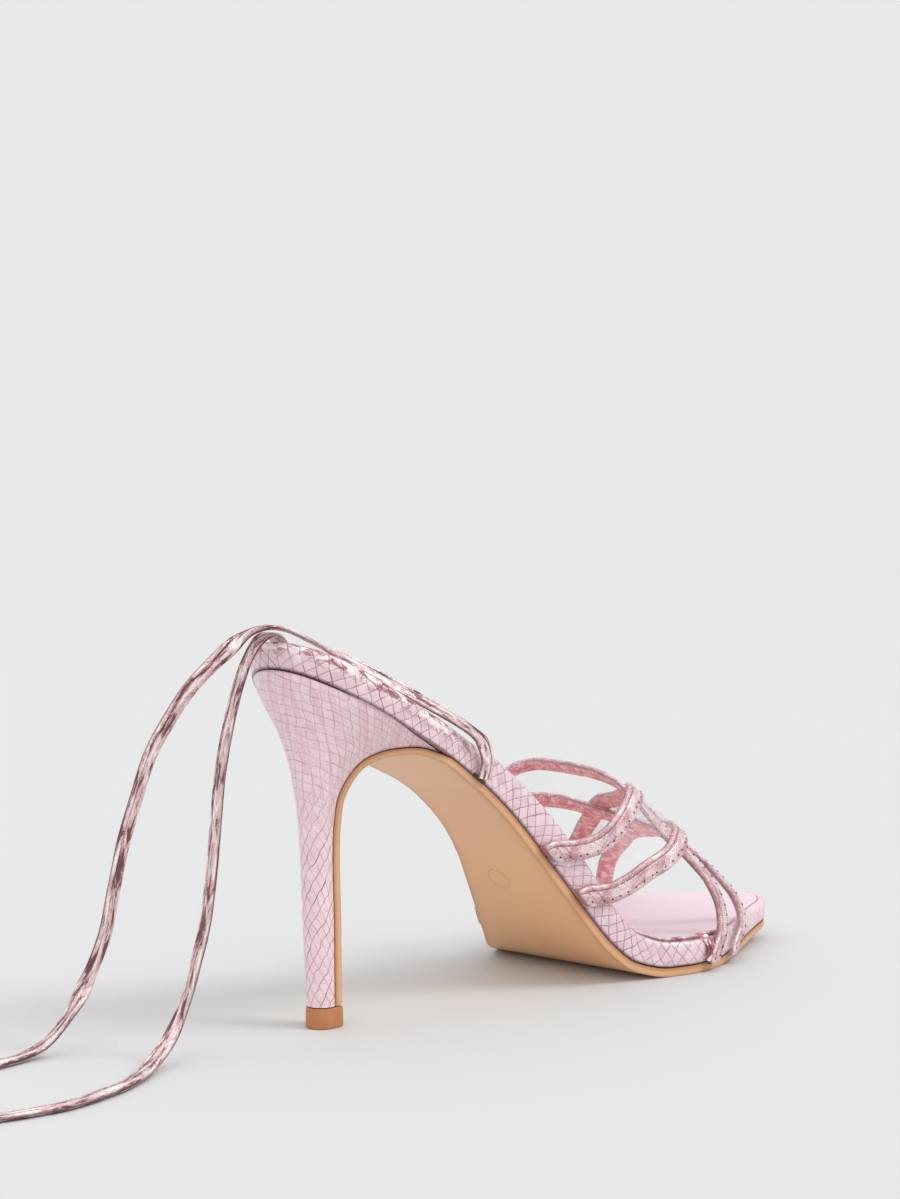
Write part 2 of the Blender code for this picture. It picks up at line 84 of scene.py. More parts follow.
def linear(code):
    """Colour of a hex code, as the shader's linear values."""
    parts = [int(code[i:i + 2], 16) / 255 for i in (1, 3, 5)]
    return (*[c / 12.92 if c <= 0.04045 else ((c + 0.055) / 1.055) ** 2.4 for c in parts], 1.0)


def add_node(tree, kind, values=None, links=None, **settings):
    """A shader node with its settings, socket values and incoming links."""
    made = tree.nodes.new(kind)
    for name, value in settings.items():
        setattr(made, name, value)
    for key, value in (values or {}).items():
        made.inputs[key].default_value = value
    for key, socket in (links or {}).items():
        tree.links.new(socket, made.inputs[key])
    return made


def new_material(name, **values):
    """A material and its Principled shader, with constants on the shader's own sockets."""
    made = bpy.data.materials.new(name)
    made.use_nodes = True
    shader = made.node_tree.nodes["Principled BSDF"]
    for key, value in values.items():
        shader.inputs[key.replace("_", " ")].default_value = value
    return made, made.node_tree, shader


PALE = linear("#E7E8E7")
FADE_FROM, FADE_TO = 0.7, 1.7
SKY_FROM, SKY_TO = 0.12, 0.9
OVERHEAD = 1.12
world = bpy.data.worlds.new("studio")
world.use_nodes = True
scene.world = world
sky = world.node_tree
sky_way = add_node(sky, "ShaderNodeTexCoord")
sky_up = add_node(sky, "ShaderNodeSeparateXYZ", links={0: sky_way.outputs["Generated"]})
sky_share = add_node(
    sky, "ShaderNodeMapRange", values={1: SKY_FROM, 2: SKY_TO, 3: 0.0, 4: 1.0},
    links={0: sky_up.outputs["Z"]},
)
sky_colour = add_node(
    sky, "ShaderNodeMix", data_type="RGBA",
    values={6: PALE, 7: (OVERHEAD, OVERHEAD, OVERHEAD, 1.0)}, links={0: sky_share.outputs[0]},
)
sky.links.new(sky_colour.outputs[2], sky.nodes["Background"].inputs["Color"])

# Matt paper: pale grey, with no shine. Away from the shoe it fades into the colour of the sky.
floor_material, floor_tree, floor_shader = new_material(
    "floor", Base_Color=linear("#CECFCF"), Roughness=0.9, Specular_IOR_Level=0.1,
)
floor_spot = add_node(floor_tree, "ShaderNodeTexCoord")
floor_reach = add_node(
    floor_tree, "ShaderNodeVectorMath", operation="LENGTH",
    links={0: floor_spot.outputs["Object"]},
)
floor_share = add_node(
    floor_tree, "ShaderNodeMapRange", interpolation_type="SMOOTHSTEP",
    values={1: FADE_FROM, 2: FADE_TO, 3: 0.0, 4: 1.0}, links={0: floor_reach.outputs["Value"]},
)
floor_glow = add_node(floor_tree, "ShaderNodeEmission", values={0: PALE})
floor_mix = add_node(
    floor_tree, "ShaderNodeMixShader",
    links={0: floor_share.outputs[0], 1: floor_shader.outputs[0], 2: floor_glow.outputs[0]},
)
floor_out = floor_tree.nodes["Material Output"]
floor_tree.links.new(floor_mix.outputs[0], floor_out.inputs["Surface"])
floor_mesh = bpy.data.meshes.new("floor")
floor_work = bmesh.new()
bmesh.ops.create_grid(floor_work, x_segments=1, y_segments=1, size=60.0)
floor_work.to_mesh(floor_mesh)
floor_work.free()
floor_mesh.materials.append(floor_material)
floor = bpy.data.objects.new("floor", floor_mesh)
scene.collection.objects.link(floor)
floor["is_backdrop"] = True

for name, aim, strength, spread in (
    ("key", (-0.55, 0.9, -1.25), 1.0, 24.0),
    ("fill", (0.9, 0.35, -0.6), 0.25, 40.0),
):
    light = bpy.data.lights.new(name, "SUN")
    light.energy = strength
    light.angle = math.radians(spread)
    lamp = bpy.data.objects.new(name, light)
    lamp.rotation_euler = Vector(aim).to_track_quat("-Z", "Y").to_euler()
    scene.collection.objects.link(lamp)


# Insole board: a stiff board wrapped in embossed foil, with a bed for the sock. Its rim shows all
# round the shoe, and every other piece is fixed to it, so its table gives the lines of the sole:
# the feather edge's height and both its sides, and the thickness of the board and the outsole.
SEAT_BACK, TOE_TIP = -17.5, 190.6
FIT = 0.3
SOLE_COLUMNS = ("x", "feather", "inner", "outer", "board", "sole")
SOLE = (
    (-17.5, 103.8, 0.0, 0.0, 6.4, 2.2),
    (-13.5, 101.1, -13.3, 13.3, 6.9, 2.2),
    (-6.5, 96.5, -20.2, 20.2, 7.3, 2.2),
    (4.0, 90.2, -23.9, 23.9, 7.4, 2.2),
    (15.0, 84.0, -24.4, 24.4, 7.4, 2.2),
    (23.0, 79.7, -23.9, 23.4, 7.5, 2.2),
    (32.0, 74.8, -22.6, 20.4, 7.7, 2.3),
    (40.0, 70.5, -20.6, 16.8, 8.0, 2.4),
    (48.2, 65.9, -18.9, 14.2, 8.3, 2.4),
    (55.2, 61.0, -18.2, 13.2, 8.7, 2.5),
    (64.5, 53.1, -18.0, 13.4, 9.1, 2.5),
    (73.3, 43.9, -18.8, 14.7, 9.2, 2.6),
    (84.4, 29.7, -22.0, 18.6, 9.2, 2.6),
    (93.0, 18.4, -24.8, 22.2, 9.1, 2.6),
    (98.0, 12.9, -26.0, 24.8, 9.0, 2.6),
    (108.0, 5.7, -28.2, 31.6, 8.4, 2.6),
    (120.0, 3.0, -31.6, 38.0, 7.6, 2.7),
    (130.0, 3.0, -34.0, 39.3, 7.3, 2.7),
    (142.0, 3.0, -32.8, 38.3, 7.2, 2.7),
    (150.0, 3.3, -30.2, 36.6, 7.1, 2.7),
    (162.0, 4.2, -25.5, 31.6, 6.9, 2.6),
    (171.0, 5.2, -22.0, 24.0, 6.6, 2.6),
    (178.0, 6.0, -19.5, 14.6, 6.3, 2.5),
    (184.0, 6.9, -17.6, 5.2, 6.0, 2.4),
    (190.6, 7.9, -8.5, -8.5, 5.8, 2.3),
)


def share_of_length(x):
    """Place along the sole from 0 at the back to 1 at the tip, crowded at both round ends."""
    t = (x - SEAT_BACK) / (TOE_TIP - SEAT_BACK)
    return math.acos(max(-1.0, min(1.0, 1 - 2 * t))) / math.pi


def along_sole(share):
    return SEAT_BACK + (TOE_TIP - SEAT_BACK) * (1 - math.cos(math.pi * share)) / 2


def monotone(xs, ys):
    """Smooth curve through the points that never overshoots them, as a function of x."""
    spans = [b - a for a, b in zip(xs, xs[1:])]
    rises = [(b - a) / h for a, b, h in zip(ys, ys[1:], spans)]
    slopes = [rises[0]]
    for before, after, left, right in zip(rises, rises[1:], spans, spans[1:]):
        if before * after <= 0.0:
            slopes.append(0.0)
        else:
            near, far = 2 * right + left, right + 2 * left
            slopes.append((near + far) / (near / before + far / after))
    slopes.append(rises[-1])

    def value(x):
        i = 0
        while i < len(spans) - 1 and x > xs[i + 1]:
            i += 1
        t = (x - xs[i]) / spans[i]
        if t < 0.0:
            return ys[0] + slopes[0] * (x - xs[0])
        if t > 1.0:
            return ys[-1] + slopes[-1] * (x - xs[-1])
        a = (1 + 2 * t) * (1 - t) ** 2 * ys[i] + t * (1 - t) ** 2 * spans[i] * slopes[i]
        b = t * t * (3 - 2 * t) * ys[i + 1] + t * t * (t - 1) * spans[i] * slopes[i + 1]
        return a + b

    return value


sole = {name: [row[i] for row in SOLE] for i, name in enumerate(SOLE_COLUMNS)}
shares = [share_of_length(x) for x in sole["x"]]
feather = monotone(sole["x"], sole["feather"])
board_thickness = monotone(sole["x"], sole["board"])
sole_thickness = monotone(sole["x"], sole["sole"])
inner_by_share = monotone(shares, sole["inner"])
outer_by_share = monotone(shares, sole["outer"])


def steepness(x):
    """Length along the sole for each millimetre along the floor."""
    return math.hypot(1.0, feather(x + 0.5) - feather(x - 0.5))


def board_top(x):
    return feather(x) + board_thickness(x) * steepness(x)


def outline_point(s):
    """Edge of the board in plan: from the back along the inner side to the tip and back again."""
    share = 2 * s if s <= 0.5 else 2 - 2 * s
    side = inner_by_share if s <= 0.5 else outer_by_share
    return Vector((along_sole(share), side(share)))


def outline(s, inset):
    """The same edge, moved in."""
    run = (outline_point((s + 0.002) % 1.0) - outline_point((s - 0.002) % 1.0)).normalized()
    return outline_point(s) + Vector((-run.y, run.x)) * inset


def lengths(points):
    """Length along a run of points, at each of them."""
    made = [0.0]
    for a, b in zip(points, points[1:]):
        made.append(made[-1] + (b - a).length)
    return made


ROUND_STEPS = 240
round_points = [
    Vector((p.x, p.y, feather(p.x)))
    for p in (outline_point(i / ROUND_STEPS) for i in range(ROUND_STEPS + 1))
]
round_lengths = lengths(round_points)


def round_length(s):
    return round_lengths[round(s * ROUND_STEPS)]


# Across the rim, from below to the bed: how far in, and the share of the board's thickness.
BOARD_PROFILE = (
    (3.0, 0.0), (0.5, 0.0), (0.15, 0.03), (-0.02, 0.1), (-0.14, 0.25), (-0.2, 0.42), (-0.17, 0.58),
    (-0.08, 0.72), (0.06, 0.83), (0.3, 0.91), (0.7, 0.965), (1.2, 0.99), (1.8, 1.0), (2.15, 0.985),
    (2.3, 0.94), (2.35, 0.88), (4.0, 0.87),
)
RIM_SEAT_END, RIM_TOE_START = 66.0, 158.0


# Embossed foil on a leather base: pale rose with a faint metal sheen, pressed with scales between
# thin dark lines, with painted highlights and painted dark reflections in patches, and painted shade
# in grooves and seams. Its pattern is in millimetres.
LINE_CORE, LINE_EDGE = 0.02, 0.056
PILLOW_EDGE = 0.17
WAVES_PER_MM, WAVE_SHIFT = 0.11, 3.2
CLOUDS_PER_MM = 0.3
GRAINS_PER_MM = 2.4
RIBS_PER_MM = 0.42
PAINTED_HIGHLIGHT = "#FFF6F2"


def foil_material(name, tones, weaves, metallic, roughness, painted_light=0.0, smear=(0.11, 0.55), ribs=0.0):
    """The foil in four tones: light, deep, line, and the dark of its painted reflections. A weave is
    its width, height and slant, the depth of both its families of lines, and the mark that shows
    where it is pressed. It also takes the strength of its painted highlights and dark reflections,
    and how they are stretched.
    """
    light, deep, line, dark_reflection = [linear(code) for code in tones]
    material, tree, shader = new_material(
        name, Metallic=metallic, Coat_Weight=0.12, Coat_Roughness=0.2,
    )
    pattern = add_node(tree, "ShaderNodeUVMap", uv_map="pattern")
    wave = add_node(
        tree, "ShaderNodeTexNoise", links={"Vector": pattern.outputs[0]},
        values={"Scale": WAVES_PER_MM, "Detail": 2.0, "Roughness": 0.65},
    )
    bent = add_node(
        tree, "ShaderNodeVectorMath", operation="MULTIPLY_ADD",
        values={1: (WAVE_SHIFT, WAVE_SHIFT, 0.0)},
        links={0: wave.outputs["Color"], 2: pattern.outputs[0]},
    )
    drawn, pillow, tone = None, None, None
    for across, up, slant, strong, faint, mark in weaves:
        shown = add_node(tree, "ShaderNodeAttribute", attribute_name=mark)
        counts = []
        for steps, depth in (
            ((1 / across, slant / up, 0.0), strong),
            ((slant / across, -1 / up, 0.0), faint),
        ):
            count = add_node(
                tree, "ShaderNodeVectorMath", operation="DOT_PRODUCT",
                values={1: steps}, links={0: bent.outputs[0]},
            )
            counts.append(count)
            gap = add_node(
                tree, "ShaderNodeMath", operation="PINGPONG", values={1: 0.5},
                links={0: count.outputs["Value"]},
            )
            ink = add_node(
                tree, "ShaderNodeMapRange", interpolation_type="SMOOTHSTEP",
                values={1: LINE_CORE, 2: LINE_EDGE, 3: depth, 4: 0.0}, links={0: gap.outputs[0]},
            )
            masked = add_node(
                tree, "ShaderNodeMath", operation="MULTIPLY",
                links={0: ink.outputs[0], 1: shown.outputs["Fac"]},
            )
            puffed = add_node(
                tree, "ShaderNodeMapRange", interpolation_type="SMOOTHSTEP",
                values={1: 0.0, 2: PILLOW_EDGE, 3: 0.0, 4: 1.0}, links={0: gap.outputs[0]},
            )
            if drawn:
                masked = add_node(
                    tree, "ShaderNodeMath", operation="MAXIMUM",
                    links={0: drawn.outputs[0], 1: masked.outputs[0]},
                )
                puffed = add_node(
                    tree, "ShaderNodeMath", operation="MINIMUM",
                    links={0: pillow.outputs[0], 1: puffed.outputs[0]},
                )
            drawn, pillow = masked, puffed
        pair = add_node(
            tree, "ShaderNodeCombineXYZ",
            links={0: counts[0].outputs["Value"], 1: counts[1].outputs["Value"]},
        )
        cell = add_node(
            tree, "ShaderNodeVectorMath", operation="FLOOR", links={0: pair.outputs[0]},
        )
        tone = add_node(tree, "ShaderNodeTexWhiteNoise", links={"Vector": cell.outputs[0]})
    cloud = add_node(
        tree, "ShaderNodeTexNoise", links={"Vector": pattern.outputs[0]},
        values={"Scale": CLOUDS_PER_MM, "Detail": 5.0, "Roughness": 0.62},
    )
    mixed = add_node(
        tree, "ShaderNodeMath", operation="MULTIPLY_ADD", values={1: 0.22},
        links={0: tone.outputs["Value"], 2: cloud.outputs["Fac"]},
    )
    share = add_node(
        tree, "ShaderNodeMapRange", values={1: 0.4, 2: 0.85, 3: 0.0, 4: 1.0},
        links={0: mixed.outputs[0]},
    )
    body = add_node(
        tree, "ShaderNodeMix", data_type="RGBA", values={6: light, 7: deep},
        links={0: share.outputs[0]},
    )
    fade = add_node(
        tree, "ShaderNodeMapRange", values={1: 0.35, 2: 0.6, 3: 0.5, 4: 1.0},
        links={0: wave.outputs["Fac"]},
    )
    inked = add_node(
        tree, "ShaderNodeMath", operation="MULTIPLY",
        links={0: drawn.outputs[0], 1: fade.outputs[0]},
    )
    scaled = add_node(
        tree, "ShaderNodeMix", data_type="RGBA", values={7: line},
        links={0: inked.outputs[0], 6: body.outputs[2]},
    )
    painted_light_mark = add_node(tree, "ShaderNodeAttribute", attribute_name="painted_light")
    stretched = add_node(
        tree, "ShaderNodeMapping", values={"Scale": (*smear, 1.0)},
        links={"Vector": pattern.outputs[0]},
    )
    patches = add_node(
        tree, "ShaderNodeTexNoise",
        values={"Scale": 1.0, "Detail": 6.0, "Roughness": 0.68, "Distortion": 0.5},
        links={"Vector": stretched.outputs[0]},
    )
    colour = scaled
    # Painted light: patches of painted highlight and of dark painted reflection, where the mark
    # allows them.
    for near, far, paint in ((0.47, 0.42, linear(PAINTED_HIGHLIGHT)), (0.52, 0.58, dark_reflection)):
        patch = add_node(
            tree, "ShaderNodeMapRange", interpolation_type="SMOOTHSTEP",
            values={1: near, 2: far, 3: 0.0, 4: painted_light}, links={0: patches.outputs["Fac"]},
        )
        here = add_node(
            tree, "ShaderNodeMath", operation="MULTIPLY",
            links={0: patch.outputs[0], 1: painted_light_mark.outputs["Fac"]},
        )
        colour = add_node(
            tree, "ShaderNodeMix", data_type="RGBA", values={7: paint},
            links={0: here.outputs[0], 6: colour.outputs[2]},
        )
    # Painted shade: the line colour is laid along grooves, folded sides and seams.
    burnish_and_shade = add_node(tree, "ShaderNodeAttribute", attribute_name="burnish_and_shade")
    final = add_node(
        tree, "ShaderNodeMix", data_type="RGBA", values={7: line},
        links={0: burnish_and_shade.outputs["Fac"], 6: colour.outputs[2]},
    )
    grain = add_node(
        tree, "ShaderNodeTexNoise", links={"Vector": pattern.outputs[0]},
        values={"Scale": GRAINS_PER_MM, "Detail": 4.0, "Roughness": 0.7},
    )
    height = add_node(
        tree, "ShaderNodeMath", operation="MULTIPLY_ADD", values={1: 0.5},
        links={0: grain.outputs["Fac"], 2: pillow.outputs[0]},
    )
    if ribs:
        ribbed = add_node(
            tree, "ShaderNodeTexWave", wave_type="BANDS", bands_direction="X",
            values={"Scale": RIBS_PER_MM, "Distortion": 1.5, "Detail": 2.0, "Detail Scale": 0.6},
            links={"Vector": pattern.outputs[0]},
        )
        height = add_node(
            tree, "ShaderNodeMath", operation="MULTIPLY_ADD", values={1: ribs},
            links={0: ribbed.outputs["Fac"], 2: height.outputs[0]},
        )
    bump = add_node(
        tree, "ShaderNodeBump", values={"Strength": 0.5, "Distance": 0.0002},
        links={"Height": height.outputs[0]},
    )
    gloss = add_node(
        tree, "ShaderNodeMapRange", values={1: 0.3, 2: 0.7, 3: roughness - 0.1, 4: roughness + 0.12},
        links={0: cloud.outputs["Fac"]},
    )
    tree.links.new(final.outputs[2], shader.inputs["Base Color"])
    tree.links.new(gloss.outputs[0], shader.inputs["Roughness"])
    tree.links.new(bump.outputs[0], shader.inputs["Normal"])
    return material


# On the rim: satin, with large scales, and painted highlights and dark reflections most along its
# top edge.
rim_foil = foil_material(
    "rim_foil", ("#F2DAE0", "#E2BFC8", "#6B4450", "#8A4652"),
    ((4.2, 4.4, 1.0, 0.9, 0.85, "scales"),), 0.22, 0.32, painted_light=0.9, smear=(0.2, 0.45),
)


def rim_row(t):
    return BOARD_PROFILE[round(t * (len(BOARD_PROFILE) - 1))]


def board_place(s, t):
    inset, share = rim_row(t)
    p = outline(s, inset)
    return p.x, p.y, feather(p.x) + board_thickness(p.x) * steepness(p.x) * share


def board_pattern(s, t):
    """Along the rim and square to it, also where the sole is steep."""
    x = outline_point(s).x
    up = board_thickness(x) * rim_row(t)[1]
    slope = feather(x + 0.5) - feather(x - 0.5)
    return round_length(s) + up * slope * (1 if s <= 0.5 else -1), up


def ramp(value, start, span):
    """From 0 at the start to 1 a span further on."""
    return min(1.0, max(0.0, (value - start) / span))


def rim_painted_light(s, t):
    """Painted highlights and dark reflections along the upper half of the rim, round the seat."""
    share = rim_row(t)[1]
    return ramp(RIM_SEAT_END - outline_point(s).x, 0.0, 40.0) * ramp(share, 0.35, 0.4)


def rim_scales(s, t):
    """The scales fade out round the toe."""
    return 1 - 0.85 * ramp(outline_point(s).x, RIM_TOE_START, 14.0)


def rim_seam_shade(s, t):
    """Painted shade: a dark line in the seam where the rim meets the outsole."""
    return 0.7 if rim_row(t)[1] < 0.05 else 0.0


def surface(name, along, around, place, pattern, materials, slot=None, marks=None, ends=False):
    """A grid laid out by place(s, t), with pattern(s, t) as its UV map in millimetres.

    The slot gives each face its material, and each mark a value to each corner. Open ends are
    closed where ends is set.
    """
    work = bmesh.new()
    bmesh.ops.create_grid(work, x_segments=along, y_segments=around, size=0.5)
    uv = work.loops.layers.uv.new("pattern")
    layers = [(work.loops.layers.float.new(key), mark) for key, mark in (marks or {}).items()]
    for face in work.faces:
        if slot:
            centre = face.calc_center_median()
            face.material_index = slot(centre.x + 0.5, centre.y + 0.5)
        for loop in face.loops:
            s, t = loop.vert.co.x + 0.5, loop.vert.co.y + 0.5
            loop[uv].uv = pattern(s, t)
            for layer, mark in layers:
                loop[layer] = mark(s, t)
    for vert in work.verts:
        vert.co = Vector(place(vert.co.x + 0.5, vert.co.y + 0.5)) * MM
    bmesh.ops.remove_doubles(work, verts=work.verts, dist=2e-6)
    if ends:
        bmesh.ops.holes_fill(work, edges=work.edges)
    bmesh.ops.recalc_face_normals(work, faces=work.faces)
    mesh = bpy.data.meshes.new(name)
    work.to_mesh(mesh)
    work.free()
    mesh.shade_smooth()
    mesh.set_sharp_from_angle(angle=math.radians(45))
    for material in materials:
        mesh.materials.append(material)
    piece = bpy.data.objects.new(name, mesh)
    scene.collection.objects.link(piece)
    return piece


board = surface(
    "board_rim", ROUND_STEPS, len(BOARD_PROFILE) - 1, board_place, board_pattern, [rim_foil],
    marks={"scales": rim_scales, "painted_light": rim_painted_light, "burnish_and_shade": rim_seam_shade},
)
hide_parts("insole_board")
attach(board, "root")

# Sock: a thin sheet of smooth coated leather, glued into the bed of the board. Its edge is soft
# and stands a little higher than its middle. Each pair is a place from the edge and a height.
SOCK_ACROSS = (
    (0.0, -0.9), (0.0, -0.25), (0.12, -0.05), (0.4, 0.08), (0.9, 0.16), (1.6, 0.12), (2.3, 0.0),
)
SOCK_MIDDLE = 10
SOCK_INSET = 2.5
SOCK_NARROW = 6.0
# Coated leather: smooth and satin, its grain so fine that it only softens the light.
sock_material, sock_tree, sock_shader = new_material(
    "sock_lining", Roughness=0.42, Coat_Weight=0.08, Coat_Roughness=0.3,
)
sock_place_in = add_node(sock_tree, "ShaderNodeTexCoord")
sock_grain = add_node(
    sock_tree, "ShaderNodeTexNoise", values={"Scale": 1400.0, "Detail": 2.0},
    links={"Vector": sock_place_in.outputs["Object"]},
)
sock_cloud = add_node(
    sock_tree, "ShaderNodeTexNoise", values={"Scale": 22.0, "Detail": 3.0},
    links={"Vector": sock_place_in.outputs["Object"]},
)
sock_colour = add_node(
    sock_tree, "ShaderNodeMix", data_type="RGBA",
    values={6: linear("#E6D1DA"), 7: linear("#DCC5CF")}, links={0: sock_cloud.outputs["Fac"]},
)
sock_bump = add_node(
    sock_tree, "ShaderNodeBump", values={"Strength": 0.12, "Distance": 0.0001},
    links={"Height": sock_grain.outputs["Fac"]},
)
sock_tree.links.new(sock_colour.outputs[2], sock_shader.inputs["Base Color"])
sock_tree.links.new(sock_bump.outputs[0], sock_shader.inputs["Normal"])


def sock_place(s, t):
    """Across the sock: up the inner edge, over the flat middle and down the outer edge."""
    steps = len(SOCK_ACROSS)
    k = round(t * (2 * steps + SOCK_MIDDLE - 1))
    inner, outer = outline(s / 2, SOCK_INSET), outline(1 - s / 2, SOCK_INSET)
    x = inner.x
    width = max(0.0, outer.y - inner.y)
    edge = min(1.0, width / SOCK_NARROW)
    if k < steps:
        aside, rise = SOCK_ACROSS[k]
        y = inner.y + aside * edge
    elif k >= steps + SOCK_MIDDLE:
        aside, rise = SOCK_ACROSS[2 * steps + SOCK_MIDDLE - 1 - k]
        y = outer.y - aside * edge
    else:
        reach = SOCK_ACROSS[-1][0] * edge
        y = inner.y + reach + (width - 2 * reach) * (k - steps + 1) / (SOCK_MIDDLE + 1)
        rise = 0.0
    return x, y, board_top(x) + (FIT + rise) * steepness(x)


sock = surface(
    "sock", 120, 2 * len(SOCK_ACROSS) + SOCK_MIDDLE - 1, sock_place, lambda s, t: (s, t),
    [sock_material],
)
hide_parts("insole_sock")
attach(sock, "root")

# Piping: a folded bead of the foil, glued in between the rim and the sock. It is fuller beside the
# ball of the foot on the inner side, and flat round the toe.
PIPING_INSET = 2.25
PIPING_THIN, PIPING_FULL = 0.45, 1.1
PIPING_STEPS = 12
PIPING_FROM, PIPING_TO = 104.0, 166.0
# Folded tight and creased: deeper in colour than the rim, with painted highlights and dark
# reflections in streaks.
piping_foil = foil_material(
    "piping_foil", ("#EACBCE", "#C9989F", "#6B3F4A", "#7C4650"),
    ((2.6, 2.4, 1.0, 0.4, 0.4, "scales"),), 0.35, 0.28, painted_light=0.8, smear=(0.25, 0.5),
)


def piping_place(s, t):
    p = outline(s, PIPING_INSET)
    swell = 0.0
    if s < 0.5 and PIPING_FROM < p.x < PIPING_TO:
        swell = math.sin(math.pi * (p.x - PIPING_FROM) / (PIPING_TO - PIPING_FROM))
    radius = PIPING_THIN + (PIPING_FULL - PIPING_THIN) * swell
    radius *= 1 - 0.7 * ramp(p.x, PIPING_TO - 6.0, 8.0)
    side = outline(s, PIPING_INSET + 1.0) - p
    turn = 2 * math.pi * t
    p = p + side * radius * math.cos(turn)
    return p.x, p.y, board_top(p.x) + (radius * math.sin(turn) + 0.3 * swell) * steepness(p.x)


def piping_painted_light(s, t):
    """Painted highlights and dark reflections: hardly any round the toe, and most on the fuller
    stretch.
    """
    p = outline_point(s)
    if p.x > PIPING_TO - 8.0:
        return 0.1
    return 1.0 if s < 0.5 and p.x > PIPING_FROM else 0.5


def piping_shade_lines(s, t):
    """Painted shade: dark lines down both sides of the bead, where it meets the rim and the sock,
    strongest on the fuller stretch.
    """
    k = round(t * PIPING_STEPS) % PIPING_STEPS
    return 0.8 * piping_painted_light(s, t) if k in (1, 5, 6) else 0.0


piping = surface(
    "piping", ROUND_STEPS, PIPING_STEPS, piping_place, lambda s, t: (round_length(s), 4 * t),
    [piping_foil],
    marks={"painted_light": piping_painted_light, "scales": lambda s, t: 1.0, "burnish_and_shade": piping_shade_lines},
)
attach(piping, "root")

# Heel: a slender moulded block, covered with the foil and fixed under the seat. Each row of the
# table is a tilted slice of it: its breast, its back, how round it is, and the sole's flap there.
HEEL_COLUMNS = ("front_x", "front_z", "front_half", "back_x", "back_z", "half", "round", "flap")
HEEL = (
    (0.9, 6.3, 4.1, -4.5, 6.3, 4.2, 0.80, 3.0),
    (0.8, 20.0, 4.1, -5.4, 22.0, 4.3, 0.68, 3.0),
    (0.5, 34.0, 4.2, -6.1, 37.0, 4.5, 0.62, 3.0),
    (-0.1, 48.0, 4.4, -6.5, 51.0, 4.8, 0.61, 3.0),
    (-0.1, 58.5, 4.9, -7.2, 62.0, 5.4, 0.60, 3.0),
    (1.0, 67.2, 6.0, -8.6, 72.0, 6.9, 0.59, 2.9),
    (5.5, 74.8, 8.4, -10.6, 80.0, 9.5, 0.58, 2.5),
    (10.8, 78.4, 11.8, -13.0, 87.0, 13.0, 0.57, 2.2),
    (16.4, 79.6, 15.8, -15.2, 93.0, 17.2, 0.57, 2.0),
    (21.5, 79.4, 19.4, -16.8, 98.6, 21.1, 0.57, 2.0),
    (26.8, 77.4, 21.9, -17.5, 103.4, 23.9, 0.57, 2.0),
)
TOP_PIECE_HEIGHT = 6.0
HEEL_STEPS = 6
HEEL_ROUND = 48


def through(rows, steps):
    """Rows along a smooth curve through rows of numbers, with some steps between two of them."""
    made = []
    for i in range(len(rows) - 1):
        p1, p2 = rows[i], rows[i + 1]
        p0 = rows[i - 1] if i else [2 * a - b for a, b in zip(p1, p2)]
        p3 = rows[i + 2] if i + 2 < len(rows) else [2 * b - a for a, b in zip(p1, p2)]
        for k in range(steps):
            t = k / steps
            made.append([
                0.5 * (2 * b + (c - a) * t + (2 * a - 5 * b + 4 * c - d) * t * t
                       + (3 * b - a - 3 * c + d) * t ** 3)
                for a, b, c, d in zip(p0, p1, p2, p3)
            ])
    made.append(list(rows[-1]))
    return made


heel_rows = [dict(zip(HEEL_COLUMNS, row)) for row in through(HEEL, HEEL_STEPS)]
SCALES_END, SQUARES_START = 72.0, 56.0
# Drawn over the heel: long scales on the stem, which turn to small squares on the flare.
# Painted streaks of shade and highlight run up the heel, and painted shade lies in its seams.
heel_foil = foil_material(
    "heel_foil", ("#FBE0E7", "#F2CFD8", "#6E4450", "#C88694"),
    ((2.8, 5.2, 1.0, 1.0, 0.6, "scales"), (2.9, 2.9, 0.12, 0.55, 0.55, "squares")),
    0.2, 0.33, painted_light=0.16, smear=(0.4, 0.035),
)


def heel_point(row, t):
    """Round one slice, from the breast's inner corner over the back to its outer corner."""
    front = Vector((row["front_x"], row["front_z"]))
    back = Vector((row["back_x"], row["back_z"]))
    straight = 1 - row["round"]
    half_turn = abs(2 * t - 1)
    side = -1.0 if t < 0.5 else 1.0
    if half_turn > 0.65:
        share = (1 - half_turn) / 0.35
        reach, half = straight * share, row["front_half"] + (row["half"] - row["front_half"]) * share
    else:
        turn = math.pi / 2 * (1 - half_turn / 0.65)
        reach, half = straight + row["round"] * math.sin(turn), row["half"] * math.cos(turn)
    p = front.lerp(back, reach)
    return Vector((p.x, side * half, p.y))


heel_rings = []
for i, row in enumerate(heel_rows):
    ring = [heel_point(row, k / HEEL_ROUND) for k in range(HEEL_ROUND + 1)]
    if i == len(heel_rows) - 1:
        ring = [Vector((p.x, p.y, feather(p.x) - 0.55)) for p in ring]
    heel_rings.append(ring)
heel_spans = [lengths(ring) for ring in heel_rings]
heel_up = lengths([ring[HEEL_ROUND // 2] for ring in heel_rings])


def heel_index(s, t):
    return round(s * (len(heel_rows) - 1)), round(t * HEEL_ROUND)


def heel_pattern(s, t):
    i, k = heel_index(s, t)
    return heel_spans[i][k] - heel_spans[i][HEEL_ROUND // 2], heel_up[i]


def heel_place(s, t):
    i, k = heel_index(s, t)
    return heel_rings[i][k]


def upper_share(s, t):
    return ramp(heel_place(s, t).z, SQUARES_START, SCALES_END - SQUARES_START)


def heel_painted_light(s, t):
    """Painted streaks of shade and highlight: few on the stem, and more up to the flare."""
    return max(0.15, ramp(heel_place(s, t).z, 45.0, 30.0))


def heel_seam_shade(s, t):
    """Painted shade in the seams: a dark line under the board and down beside the flap."""
    i, k = heel_index(s, t)
    return 0.55 if i == len(heel_rows) - 1 or k in (0, HEEL_ROUND) else 0.0


